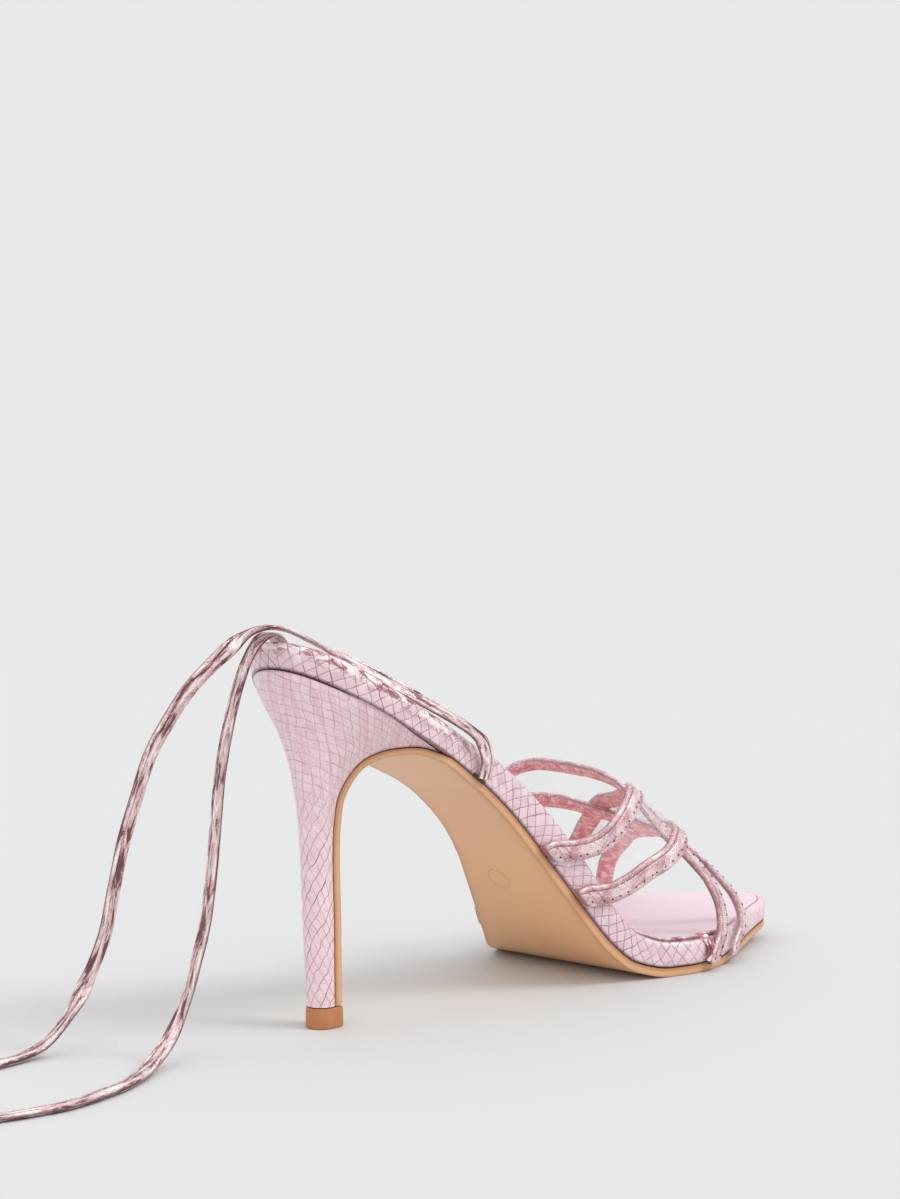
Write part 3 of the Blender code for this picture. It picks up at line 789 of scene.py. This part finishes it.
heel = surface(
    "heel_cover", len(heel_rows) - 1, HEEL_ROUND, heel_place, heel_pattern, [heel_foil],
    marks={
        "scales": lambda s, t: 1 - upper_share(s, t),
        "squares": upper_share,
        "painted_light": heel_painted_light,
        "burnish_and_shade": heel_seam_shade,
    },
)
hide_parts("heel")
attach(heel, "root")

# Outsole: a thin sheet of tan resin, glued under the board, with a burnished edge. It runs on as a
# flap down the breast of the heel. Each row across it is a place from the edge, a share of its
# thickness and how dark the edge is burnished there.
SOLE_PROFILE = (
    (0.0, 0.0, 0.9), (0.0, 0.5, 0.3), (0.03, 0.8, 0.3), (0.18, 0.95, 0.5), (0.5, 1.0, 0.4),
    (1.2, 1.0, 0.2), (2.4, 1.0, 0.06), (5.0, 1.0, 0.0),
)
SOLE_MIDDLE = 5
# Resin sheet: evenly tan and satin, dark at the cut edge, with a thin ring pressed into the waist.
RING_AT, RING_RADIUS, RING_HALF = (0.0795, 0.003, 0.0315), 0.0038, 0.00025
tan_material, tan_tree, tan_shader = new_material(
    "tan_sole", Roughness=0.42, Coat_Weight=0.15, Coat_Roughness=0.3,
)
tan_edge = add_node(tan_tree, "ShaderNodeAttribute", attribute_name="burnish_and_shade")
tan_spot = add_node(tan_tree, "ShaderNodeTexCoord")
tan_cloud = add_node(
    tan_tree, "ShaderNodeTexNoise", values={"Scale": 16.0, "Detail": 4.0},
    links={"Vector": tan_spot.outputs["Object"]},
)
tan_body = add_node(
    tan_tree, "ShaderNodeMix", data_type="RGBA",
    values={6: linear("#F3C498"), 7: linear("#E6B083")}, links={0: tan_cloud.outputs["Fac"]},
)
tan_colour = add_node(
    tan_tree, "ShaderNodeMix", data_type="RGBA", values={7: linear("#A3683A")},
    links={0: tan_edge.outputs["Fac"], 6: tan_body.outputs[2]},
)
tan_offset = add_node(
    tan_tree, "ShaderNodeVectorMath", operation="DISTANCE", values={1: RING_AT},
    links={0: tan_spot.outputs["Object"]},
)
tan_ring = add_node(
    tan_tree, "ShaderNodeMath", operation="COMPARE", values={1: RING_RADIUS, 2: RING_HALF},
    links={0: tan_offset.outputs["Value"]},
)
# The ring is also drawn darker than the sheet: painted shade in its pressed groove.
tan_ring_shade = add_node(
    tan_tree, "ShaderNodeMath", operation="MULTIPLY", values={1: 0.22},
    links={0: tan_ring.outputs[0]},
)
tan_final = add_node(
    tan_tree, "ShaderNodeMix", data_type="RGBA", values={7: linear("#8A5A34")},
    links={0: tan_ring_shade.outputs[0], 6: tan_colour.outputs[2]},
)
tan_bump = add_node(
    tan_tree, "ShaderNodeBump", values={"Strength": 0.5, "Distance": 0.0003}, invert=True,
    links={"Height": tan_ring.outputs[0]},
)
tan_tree.links.new(tan_final.outputs[2], tan_shader.inputs["Base Color"])
tan_tree.links.new(tan_bump.outputs[0], tan_shader.inputs["Normal"])

SOLE_START, SOLE_STEPS, SOLE_INSET = 0.994, 110, 0.3
FLAP_BEND = 3.0
sole_rows = []
sole_stop = share_of_length(heel_rows[-1]["front_x"] + FLAP_BEND)
for i in range(SOLE_STEPS + 1):
    x = along_sole(SOLE_START + (sole_stop - SOLE_START) * i / SOLE_STEPS)
    share = share_of_length(x)
    sole_rows.append((
        x, feather(x), inner_by_share(share) + SOLE_INSET, outer_by_share(share) - SOLE_INSET,
        sole_thickness(x),
    ))
for row in heel_rows[::-1]:
    half = row["front_half"]
    sole_rows.append((row["front_x"], row["front_z"], -half, half, row["flap"]))
SOLE_ROUND = 2 * len(SOLE_PROFILE) + SOLE_MIDDLE


def sole_column(t):
    """Share of the way across, thickness share and burnish at one column of the profile."""
    k = round(t * SOLE_ROUND) % SOLE_ROUND
    steps = len(SOLE_PROFILE)
    if k < steps:
        aside, deep, dark = SOLE_PROFILE[k]
        return aside, 0.0, deep, dark
    if k < steps + SOLE_MIDDLE:
        return 6.0, (k - steps + 1) / (SOLE_MIDDLE + 1), 1.0, 0.0
    aside, deep, dark = SOLE_PROFILE[SOLE_ROUND - 1 - k]
    return aside, 1.0, deep, dark


def sole_place(s, t):
    i = round(s * (len(sole_rows) - 1))
    x, z, inner, outer, thick = sole_rows[i]
    before, after = sole_rows[max(i - 1, 0)], sole_rows[min(i + 1, len(sole_rows) - 1)]
    run = Vector((after[0] - before[0], after[1] - before[1])).normalized()
    out = Vector((-run.y, run.x))
    aside, across, deep = sole_column(t)[:3]
    reach = min(aside, 0.28 * (outer - inner))
    y = inner + reach + (outer - inner - 2 * reach) * across
    depth = FIT + thick * deep
    if i == len(sole_rows) - 1:
        return x + out.x * depth, y, TOP_PIECE_HEIGHT + FIT
    return x + out.x * depth, y, z + out.y * depth


def sole_burnish(s, t):
    """Dark at the edges, less so where the two edges run together at the tip."""
    inner, outer = sole_rows[round(s * (len(sole_rows) - 1))][2:4]
    return sole_column(t)[3] * ramp(outer - inner, 1.0, 7.0)


outsole = surface(
    "outsole_dressed", len(sole_rows) - 1, SOLE_ROUND, sole_place,
    lambda s, t: (s, t), [tan_material], marks={"burnish_and_shade": sole_burnish}, ends=True,
)
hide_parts("outsole")
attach(outsole, "root")

# Top piece: a hard rubber lift, pinned under the tip of the heel. It is round behind and flat in
# front, and its edges are softened. Each pair is an outward step and a height.
LIFT_PROFILE = (
    (-2.0, 0.0), (-0.5, 0.0), (-0.12, 0.08), (0.06, 0.3), (0.12, 0.7), (0.05, 5.4), (-0.1, 5.9),
    (-0.5, 6.0), (-2.0, 6.0),
)
lift_tip = heel_rows[0]
LIFT_FRONT = lift_tip["front_x"] + lift_tip["flap"] + 0.4
LIFT_HALF = lift_tip["half"] + 0.1
LIFT_BACK = lift_tip["back_x"] - 0.2
LIFT_REACH = 0.986
# Hard rubber: matt and brown, with a faint speckle.
rubber_material, rubber_tree, rubber_shader = new_material("top_piece_rubber", Roughness=0.5)
rubber_spot = add_node(rubber_tree, "ShaderNodeTexCoord")
rubber_cloud = add_node(
    rubber_tree, "ShaderNodeTexNoise", values={"Scale": 260.0, "Detail": 4.0},
    links={"Vector": rubber_spot.outputs["Object"]},
)
rubber_colour = add_node(
    rubber_tree, "ShaderNodeMix", data_type="RGBA",
    values={6: linear("#C68453"), 7: linear("#B26F42")}, links={0: rubber_cloud.outputs["Fac"]},
)
rubber_bump = add_node(
    rubber_tree, "ShaderNodeBump", values={"Strength": 0.15, "Distance": 0.0001},
    links={"Height": rubber_cloud.outputs["Fac"]},
)
rubber_tree.links.new(rubber_colour.outputs[2], rubber_shader.inputs["Base Color"])
rubber_tree.links.new(rubber_bump.outputs[0], rubber_shader.inputs["Normal"])


def lift_place(s, t):
    """Half a circle round the back, then a squared curve across the front."""
    grow, z = LIFT_PROFILE[round(s * (len(LIFT_PROFILE) - 1))]
    half = LIFT_HALF + grow
    middle = LIFT_BACK + LIFT_HALF
    k = (t * 4.0) % 4.0
    if k <= 2.0:
        turn = math.pi * k / 2.0
        return middle - half * math.sin(turn), -half * math.cos(turn), z
    front = LIFT_FRONT + grow
    share = (k - 2.0) / 2.0
    y = half * math.cos(math.pi * share)
    square = min(1.0, 1.9 * math.sin(math.pi * share) ** 0.6)
    return middle + (front - middle) * square * LIFT_REACH, y, z


lift = surface("lift", len(LIFT_PROFILE) - 1, 64, lift_place, lambda s, t: (s, t), [rubber_material])
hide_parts("top_piece")
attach(lift, "root")

# Straps: four narrow folded strips, two to a band, sewn along one side and lasted over a foot. One
# table is the top of that foot. The other says where each strap runs at an angle round it, from
# the inner side over the top to the outer side.
FOOT = (
    (50.0, 88.0), (62.0, 84.0), (74.0, 80.5), (84.0, 76.5), (96.5, 71.0), (108.5, 65.0),
    (118.5, 58.2), (128.5, 49.8), (138.5, 41.6), (148.5, 34.8), (158.5, 28.4), (172.0, 20.5),
)
STRAP_COLUMNS = ("angle", "over_back", "over_front", "under_back", "under_front")
STRAPS = (
    (-14.0, 64.0, 74.0, 130.0, 140.0),
    (0.0, 74.8, 86.0, 135.5, 149.6),
    (10.0, 83.2, 96.2, 140.6, 157.8),
    (20.0, 90.8, 106.4, 141.6, 159.4),
    (35.0, 100.6, 120.8, 138.4, 157.8),
    (50.0, 109.8, 128.6, 122.4, 150.4),
    (70.0, 120.6, 137.6, 117.2, 143.4),
    (90.0, 130.6, 146.2, 115.0, 137.0),
    (110.0, 141.6, 155.4, 110.0, 128.8),
    (130.0, 147.0, 159.6, 101.5, 120.0),
    (155.0, 145.0, 162.4, 89.0, 107.5),
    (180.0, 141.5, 160.0, 76.5, 97.0),
    (194.0, 138.5, 157.0, 70.5, 91.5),
)
STRAP_STAND_OFF = 1.7
CROSSING_LIFT = 1.7
foot_top = monotone([row[0] for row in FOOT], [row[1] for row in FOOT])
strap_at = {
    name: monotone([row[0] for row in STRAPS], [row[i] for row in STRAPS])
    for i, name in enumerate(STRAP_COLUMNS) if i
}


def foot_point(x, angle, lift=0.0):
    """A place on the foot: along the shoe, and round it from the inner feather line."""
    share = share_of_length(x)
    inner, outer = inner_by_share(share), outer_by_share(share)
    half = (outer - inner) / 2 + STRAP_STAND_OFF
    turn = math.radians(angle)
    aside = math.copysign(abs(math.cos(turn)) ** 0.7, math.cos(turn))
    rise = math.copysign(abs(math.sin(turn)) ** 0.8, math.sin(turn))
    base = feather(x)
    point = Vector((x, (inner + outer) / 2 - half * aside, base + (foot_top(x) - base) * rise))
    if lift:
        point += foot_out(x, angle) * lift
    return point


def foot_out(x, angle):
    """The direction straight out of the foot at a place."""
    forward = foot_point(x + 0.5, angle) - foot_point(x - 0.5, angle)
    round_it = foot_point(x, angle + 0.5) - foot_point(x, angle - 0.5)
    return forward.cross(round_it).normalized()


def crossing_lift(angle):
    """The upper band climbs over the lower one in the middle and lies down at both ends."""
    share = min(ramp(angle, 12.0, 24.0), ramp(158.0 - angle, 0.0, 38.0))
    return CROSSING_LIFT * share * share * (3 - 2 * share)


def swept(
    name, points, normals, section, materials, slot=None, stop=None, marks=None, widths=None,
):
    """A strip along points, its section turned to the normals, with closed ends.

    Widths stretch the section at each point, and stop gives the lowest height at a place.
    """
    frames = []
    for i, p in enumerate(points):
        run = (points[min(i + 1, len(points) - 1)] - points[max(i - 1, 0)]).normalized()
        out = (normals[i] - run * normals[i].dot(run)).normalized()
        frames.append((p, run.cross(out) * (widths[i] if widths else 1.0), out))
    along = lengths(points)
    around = lengths([Vector(corner) for corner in section + section[:1]])
    count = len(section)

    def place(s, t):
        p, across, out = frames[round(s * (len(frames) - 1))]
        a, b = section[round(t * count) % count]
        q = p + across * a + out * b
        if stop:
            q.z = max(q.z, stop(q.x))
        return q

    def pattern(s, t):
        return along[round(s * (len(frames) - 1))], around[round(t * count)]

    return surface(
        name, len(points) - 1, count, place, pattern, materials, slot, marks, ends=True,
    )


# Across a strap, with the bead along one edge: place, height and how much painted shade lies there,
# dark down the folded sides and in the bead's groove.
STRAP_SECTION = (
    (-2.5, -0.35, 1.0), (-2.38, -0.78, 0.2), (-2.0, -0.98, 0.0), (-1.0, -1.0, 0.0), (0.0, -1.0, 0.0),
    (1.0, -1.0, 0.0), (2.0, -0.98, 0.0), (2.38, -0.78, 0.2), (2.5, -0.35, 1.0), (2.5, 0.25, 0.5),
    (2.4, 0.7, 0.1), (2.1, 0.9, 0.0), (1.6, 0.95, 0.0), (0.8, 1.0, 0.0), (0.0, 1.0, 0.0),
    (-0.7, 0.97, 0.0), (-1.05, 0.86, 0.4), (-1.2, 0.66, 1.0), (-1.35, 0.8, 0.3), (-1.6, 0.98, 0.0),
    (-2.1, 0.94, 0.0), (-2.4, 0.7, 0.0), (-2.5, 0.2, 0.4),
)
STRAP_OUTLINE = tuple(corner[:2] for corner in STRAP_SECTION)
# Folded into a strip: ribbed across, with painted highlights and dark reflections in patches.
strap_foil = foil_material(
    "strap_foil", ("#E8C5C9", "#CC9FA6", "#6B3F4A", "#8C5762"),
    ((2.8, 2.5, 1.0, 0.7, 0.6, "scales"),), 0.36, 0.27, painted_light=0.45, smear=(0.14, 0.4), ribs=0.9,
)
# The inner face of a strap: coral and grainy, with painted highlights and dark reflections in
# patches.
strap_inside = foil_material(
    "strap_inside", ("#F6B8B2", "#DF8583", "#BF6268", "#C9696D"),
    ((1.9, 1.8, 1.0, 0.5, 0.5, "scales"),), 0.25, 0.36, painted_light=0.6, smear=(0.5, 0.5),
)
# Widths at the inner end, the middle and the outer end of a band's straps, as shares of 5 mm.
STRAP_WIDTHS = {"over": (1.25, 1.27, 1.04), "under": (0.86, 1.2, 1.42)}
STRAP_HALF = 2.5
STRAP_STEPS = 110
BASE_ANGLE = -3.0
STITCH_START, STITCH_STEP = 3.0, 3.1
STITCH_ASIDE, STITCH_UP, STITCH_RADIUS = 1.35, 0.96, 0.28
BASE_END = 22.0
stitch_work = bmesh.new()
# Needle holes: dark, because they are in shade.
hole_material = new_material("stitch_holes", Base_Color=linear("#3E222B"), Roughness=0.6)[0]
strap_angles = [
    BASE_ANGLE + (180.0 - 2 * BASE_ANGLE) * (0.35 * (1 - math.cos(math.pi * t)) / 2 + 0.65 * t)
    for t in (i / STRAP_STEPS for i in range(STRAP_STEPS + 1))
]


def strap_faces(s, t):
    """The inner face of a strap shows its other side."""
    k = int(t * len(STRAP_SECTION))
    corner, after = STRAP_SECTION[k], STRAP_SECTION[(k + 1) % len(STRAP_SECTION)]
    return 1 if corner[1] + after[1] < -1.5 else 0


def strap_shade(s, t):
    return 0.7 * STRAP_SECTION[round(t * len(STRAP_SECTION)) % len(STRAP_SECTION)][2]


for name in STRAP_COLUMNS[1:]:
    over = name.startswith("over")
    points = [
        foot_point(strap_at[name](a), a, crossing_lift(a) if over else 0.0) for a in strap_angles
    ]
    normals = [foot_out(strap_at[name](a), a) for a in strap_angles]
    placed = lengths(points)
    width_at = monotone((0.0, 0.5, 1.0), STRAP_WIDTHS[name.split("_")[0]])
    widths = [width_at(here / placed[-1]) for here in placed]

    def scales(s, t):
        """The scales are clear near both ends and fade towards the top of the strap."""
        here = placed[round(s * STRAP_STEPS)]
        return 1 - 0.6 * ramp(min(here, placed[-1] - here), BASE_END, 8.0)

    strap = swept(
        "strap_" + name, points, normals, STRAP_OUTLINE, [strap_foil, strap_inside], strap_faces,
        stop=lambda x: feather(x) - FIT, widths=widths,
        marks={"burnish_and_shade": strap_shade, "scales": scales, "painted_light": lambda s, t: 1.0},
    )
    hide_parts("upper_straps")
    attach(strap, "root")
    mark = STITCH_START
    for i in range(1, len(points) - 1):
        if placed[i] < mark:
            continue
        mark += STITCH_STEP
        run = (points[i + 1] - points[i - 1]).normalized()
        across = run.cross(normals[i]).normalized()
        spot = points[i] + across * STITCH_ASIDE * widths[i] + normals[i] * STITCH_UP
        if spot.z < feather(spot.x) + 1.0:
            continue
        seen = set(stitch_work.verts)
        bmesh.ops.create_icosphere(stitch_work, subdivisions=1, radius=STITCH_RADIUS * MM)
        for vert in stitch_work.verts:
            if vert not in seen:
                vert.co = vert.co + run * (vert.co.dot(run) * 0.6) + spot * MM
stitch_mesh = bpy.data.meshes.new("stitches")
stitch_work.to_mesh(stitch_mesh)
stitch_work.free()
stitch_mesh.shade_smooth()
stitch_mesh.materials.append(hole_material)
stitches = bpy.data.objects.new("stitches", stitch_mesh)
scene.collection.objects.link(stitches)
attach(stitches, "root")

# Fold: the inner turn of the upper, where the toe straps go down over the rim. The foil is creased
# there, and its deep colour is painted shade for the gap between the rim and the strap's base.
FOLD = (
    (130.6, -32.0, 10.4),
    (132.2, -32.9, 10.5),
    (133.6, -34.0, 9.8),
    (134.4, -35.0, 7.6),
    (134.0, -35.4, 5.2),
    (132.6, -35.2, 3.5),
)
FOLD_FACES = (-0.25, -1.0, 0.45)
FOLD_OUTLINE = (
    (-1.3, -0.3), (0.0, -0.4), (1.3, -0.3), (1.5, 0.0), (1.2, 0.35), (0.3, 0.2), (-0.5, 0.45),
    (-1.3, 0.3), (-1.5, 0.0),
)
# Turned in: the coral inner face, painted deep rose as shade in the gap, with painted highlights
# and dark reflections.
fold_shade_foil = foil_material(
    "fold_shade_foil", ("#C9828B", "#8E4450", "#5E2E38", "#5E2430"),
    ((1.9, 1.8, 1.0, 0.5, 0.5, "scales"),), 0.4, 0.25, painted_light=0.8, smear=(0.2, 0.8),
)
fold_points = [Vector(row) for row in through(FOLD, 5)]
fold = swept(
    "fold", fold_points, [Vector(FOLD_FACES)] * len(fold_points), FOLD_OUTLINE, [fold_shade_foil],
    marks={"painted_light": lambda s, t: 1.0},
)
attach(fold, "root")

# Clear film: a sheet of soft clear vinyl in each band, sewn in between its two straps with a small
# lap under both.
# Soft vinyl: clear and glossy, with painted highlights in pale streaks and a milky painted sheen
# that gathers round one place along each film.
film_material, film_tree, film_shader = new_material(
    "clear_film", Base_Color=linear("#FBF6FC"), Roughness=0.08, IOR=1.42,
    Transmission_Weight=0.35,
)
film_spot = add_node(film_tree, "ShaderNodeUVMap", uv_map="pattern")
film_stretch = add_node(
    film_tree, "ShaderNodeMapping", values={"Scale": (9.0, 1.5, 1.0)},
    links={"Vector": film_spot.outputs[0]},
)
film_streak = add_node(
    film_tree, "ShaderNodeTexNoise", values={"Scale": 1.0, "Detail": 3.0, "Distortion": 0.8},
    links={"Vector": film_stretch.outputs[0]},
)
# Painted highlights: where the streaks rise, the film turns more opaque and near white.
film_highlight = add_node(
    film_tree, "ShaderNodeMapRange", interpolation_type="SMOOTHSTEP",
    values={1: 0.42, 2: 0.72, 3: 0.16, 4: 0.62}, links={0: film_streak.outputs["Fac"]},
)
film_sheen = add_node(film_tree, "ShaderNodeAttribute", attribute_name="painted_sheen")
film_alpha = add_node(
    film_tree, "ShaderNodeMath", operation="MULTIPLY",
    links={0: film_highlight.outputs[0], 1: film_sheen.outputs["Fac"]},
)
film_tree.links.new(film_alpha.outputs[0], film_shader.inputs["Alpha"])
FILM_ACROSS = 10
FILM_LAP = 0.9
FILM_HALF = 0.22
FILM_DROP = 0.35
film_angles = [a for a in strap_angles if 1.0 <= a <= 179.0]
# How much painted sheen a film has at least, and where along it the sheen is full.
SHEEN_REACH = 0.16
FILM_SHEEN = {"film_over": (0.22, 0.45), "film_under": (0.1, 0.0)}
for name, back, front, over in (
    ("film_over", "over_back", "over_front", True),
    ("film_under", "under_back", "under_front", False),
):
    low, peak = FILM_SHEEN[name]

    def film_place(s, t):
        """Round the foot with s, and over the top face and back under it with t."""
        angle = film_angles[round(s * (len(film_angles) - 1))]
        k = round(t * 2 * (FILM_ACROSS + 1)) % (2 * (FILM_ACROSS + 1))
        top = k <= FILM_ACROSS
        share = k / FILM_ACROSS if top else (2 * FILM_ACROSS + 1 - k) / FILM_ACROSS
        x0, x1 = strap_at[back](angle), strap_at[front](angle)
        width = (foot_point(x1, angle) - foot_point(x0, angle)).length
        start = (STRAP_HALF - FILM_LAP) / width
        x = x0 + (x1 - x0) * (start + (1 - 2 * start) * share)
        lift = (crossing_lift(angle) if over else -FILM_DROP) + (FILM_HALF if top else -FILM_HALF)
        q = foot_point(x, angle, lift)
        q.z = max(q.z, feather(q.x) - FIT)
        return q

    def painted_sheen(s, t):
        return low + (1 - low) * math.exp(-((s - peak) / SHEEN_REACH) ** 2)

    film = surface(
        name, len(film_angles) - 1, 2 * (FILM_ACROSS + 1), film_place, lambda s, t: (s, t),
        [film_material],
        marks={"painted_sheen": painted_sheen},
    )
    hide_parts("clear_band_over" if over else "clear_band_under")
    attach(film, "root")

# Slots: the seam between board and sole is left open where each tie comes out. A dark strip as
# wide as the tie stands in it, painted with the shade of the slit.
SLOT_OUTLINE = ((-0.55, 0.0), (-0.3, -0.3), (0.3, -0.3), (0.55, 0.0), (0.3, 0.3), (-0.3, 0.3))
SLOT_FROM, SLOT_TO, SLOT_STEPS = 42.0, 48.0, 8
SLOT_OUT, SLOT_UP = 0.15, 0.3
# Painted shade: a dark matt strip for the shade inside the open seam.
slot_shade_material = new_material("slot_shade", Base_Color=linear("#5C3640"), Roughness=0.7)[0]
for name, side, face in (("inner", inner_by_share, -1.0), ("outer", outer_by_share, 1.0)):
    slot_points = []
    for i in range(SLOT_STEPS + 1):
        x = SLOT_FROM + (SLOT_TO - SLOT_FROM) * i / SLOT_STEPS
        y = side(share_of_length(x)) + SLOT_OUT * face
        slot_points.append(Vector((x, y, feather(x) + SLOT_UP)))
    slot = swept(
        "slot_" + name, slot_points, [Vector((0.0, face, 0.0))] * len(slot_points), SLOT_OUTLINE,
        [slot_shade_material],
    )
    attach(slot, "root")

# Ties: long flat strips of folded foil with a bead along one edge. They leave the seam at the arch,
# cross on the seat and fall loose behind the heel. Each point of a route names the way it faces.
FACES = {
    "inner": (0.0, -1.0, 0.0),
    "outer": (0.0, 1.0, 0.0),
    "inner_up": (0.0, -0.7, 0.7),
    "outer_up": (0.0, 0.7, 0.7),
    "up": (0.0, 0.0, 1.0),
    "back": (-1.0, 0.2, 0.25),
    "turned": (0.1, -0.95, 0.2),
}
TIE_STEPS = 8
# Across a tie, with the bead along one edge: place, height and how much painted shade lies there,
# dark down the folded sides and in the bead's groove.
TIE_SECTION = (
    (-2.3, -0.2, 1.0), (-2.18, -0.52, 0.3), (-1.8, -0.72, 0.0), (-0.6, -0.75, 0.0), (0.6, -0.75, 0.0),
    (1.8, -0.72, 0.0), (2.18, -0.52, 0.3), (2.3, -0.2, 1.0), (2.3, 0.15, 0.5), (2.2, 0.5, 0.0),
    (1.9, 0.7, 0.0), (1.5, 0.72, 0.0), (1.28, 0.66, 0.3), (1.15, 0.48, 1.0), (1.02, 0.64, 0.3),
    (0.4, 0.73, 0.0), (-0.6, 0.75, 0.0), (-1.6, 0.72, 0.0), (-2.15, 0.55, 0.0), (-2.3, 0.2, 0.5),
)
TIE_OUTLINE = tuple(corner[:2] for corner in TIE_SECTION)
INNER_TIE = (
    (45.0, -21.4, 68.0, "inner"),
    (45.9, -21.9, 72.8, "inner"),
    (44.0, -22.4, 77.6, "inner"),
    (39.4, -22.4, 82.0, "inner_up"),
    (32.0, -21.4, 86.8, "inner_up"),
    (23.0, -19.0, 92.0, "inner_up"),
    (14.0, -15.2, 97.4, "inner_up"),
    (4.0, -10.6, 103.4, "inner_up"),
    (-5.0, -5.0, 109.2, "up"),
    (-14.0, 1.7, 114.6, "up"),
    (-22.3, 5.6, 113.8, "up"),
    (-31.4, 9.5, 106.6, "turned"),
    (-38.6, 12.7, 99.1, "turned"),
    (-44.0, 15.1, 91.1, "turned"),
    (-49.3, 17.5, 81.3, "turned"),
    (-53.1, 19.2, 69.4, "turned"),
    (-56.6, 20.7, 57.5, "turned"),
    (-59.4, 22.0, 43.6, "turned"),
    (-61.8, 22.9, 32.4, "turned"),
    (-65.9, 24.7, 21.7, "turned"),
    (-70.6, 26.9, 11.9, "back"),
    (-77.2, 29.2, 4.4, "up"),
    (-85.4, 30.0, 1.5, "up"),
    (-94.5, 29.4, 1.2, "up"),
    (-104.0, 28.6, 1.2, "up"),
)
OUTER_TIE = (
    (45.0, 17.0, 68.0, "outer"),
    (45.9, 17.6, 72.8, "outer"),
    (44.0, 18.6, 77.6, "outer"),
    (39.4, 19.8, 82.2, "outer_up"),
    (32.0, 20.8, 87.0, "outer_up"),
    (23.0, 20.4, 91.8, "outer_up"),
    (14.0, 17.8, 97.0, "outer_up"),
    (4.0, 13.8, 102.4, "outer_up"),
    (-5.0, 9.6, 107.6, "up"),
    (-13.0, 5.8, 112.2, "up"),
    (-19.6, 4.0, 112.1, "up"),
    (-25.2, 3.4, 107.2, "back"),
    (-29.9, 3.1, 98.8, "back"),
    (-34.0, 2.6, 88.5, "back"),
    (-37.6, 2.2, 75.7, "back"),
    (-39.8, 1.7, 62.5, "back"),
    (-42.2, 1.3, 47.4, "back"),
    (-45.0, 0.8, 35.6, "back"),
    (-48.6, 0.4, 26.6, "back"),
    (-53.1, -0.1, 16.6, "back"),
    (-60.0, -1.3, 7.6, "up"),
    (-70.0, -4.8, 2.6, "up"),
    (-82.0, -10.8, 1.2, "up"),
    (-94.0, -15.4, 1.2, "up"),
    (-112.0, -18.6, 1.2, "up"),
    (-123.0, -17.6, 1.2, "up"),
    (-133.0, -15.4, 1.2, "up"),
    (-143.0, -12.8, 1.2, "up"),
)
# Folded flat: painted highlights and dark reflections in streaks along the tie.
tie_foil = foil_material(
    "tie_foil", ("#F3D8D8", "#D2A5AA", "#5E3640", "#6B3C44"),
    ((3.4, 3.0, 1.0, 0.3, 0.25, "scales"),), 0.45, 0.22, painted_light=0.95, smear=(0.09, 0.5),
)


def tie_shade(s, t):
    return 0.9 * TIE_SECTION[round(t * len(TIE_SECTION)) % len(TIE_SECTION)][2]


for name, route in (("tie_inner", INNER_TIE), ("tie_outer", OUTER_TIE)):
    rows = through([(x, y, z, *FACES[face]) for x, y, z, face in route], TIE_STEPS)
    points = [Vector(row[:3]) for row in rows]
    normals = [Vector(row[3:]) for row in rows]
    tie = swept(
        "flat_" + name, points, normals, TIE_OUTLINE, [tie_foil],
        marks={"burnish_and_shade": tie_shade, "scales": lambda s, t: 1.0, "painted_light": lambda s, t: 1.0},
    )
    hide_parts(name)
    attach(tie, "root")
    lengths(points)[-1] * MM

low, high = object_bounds()
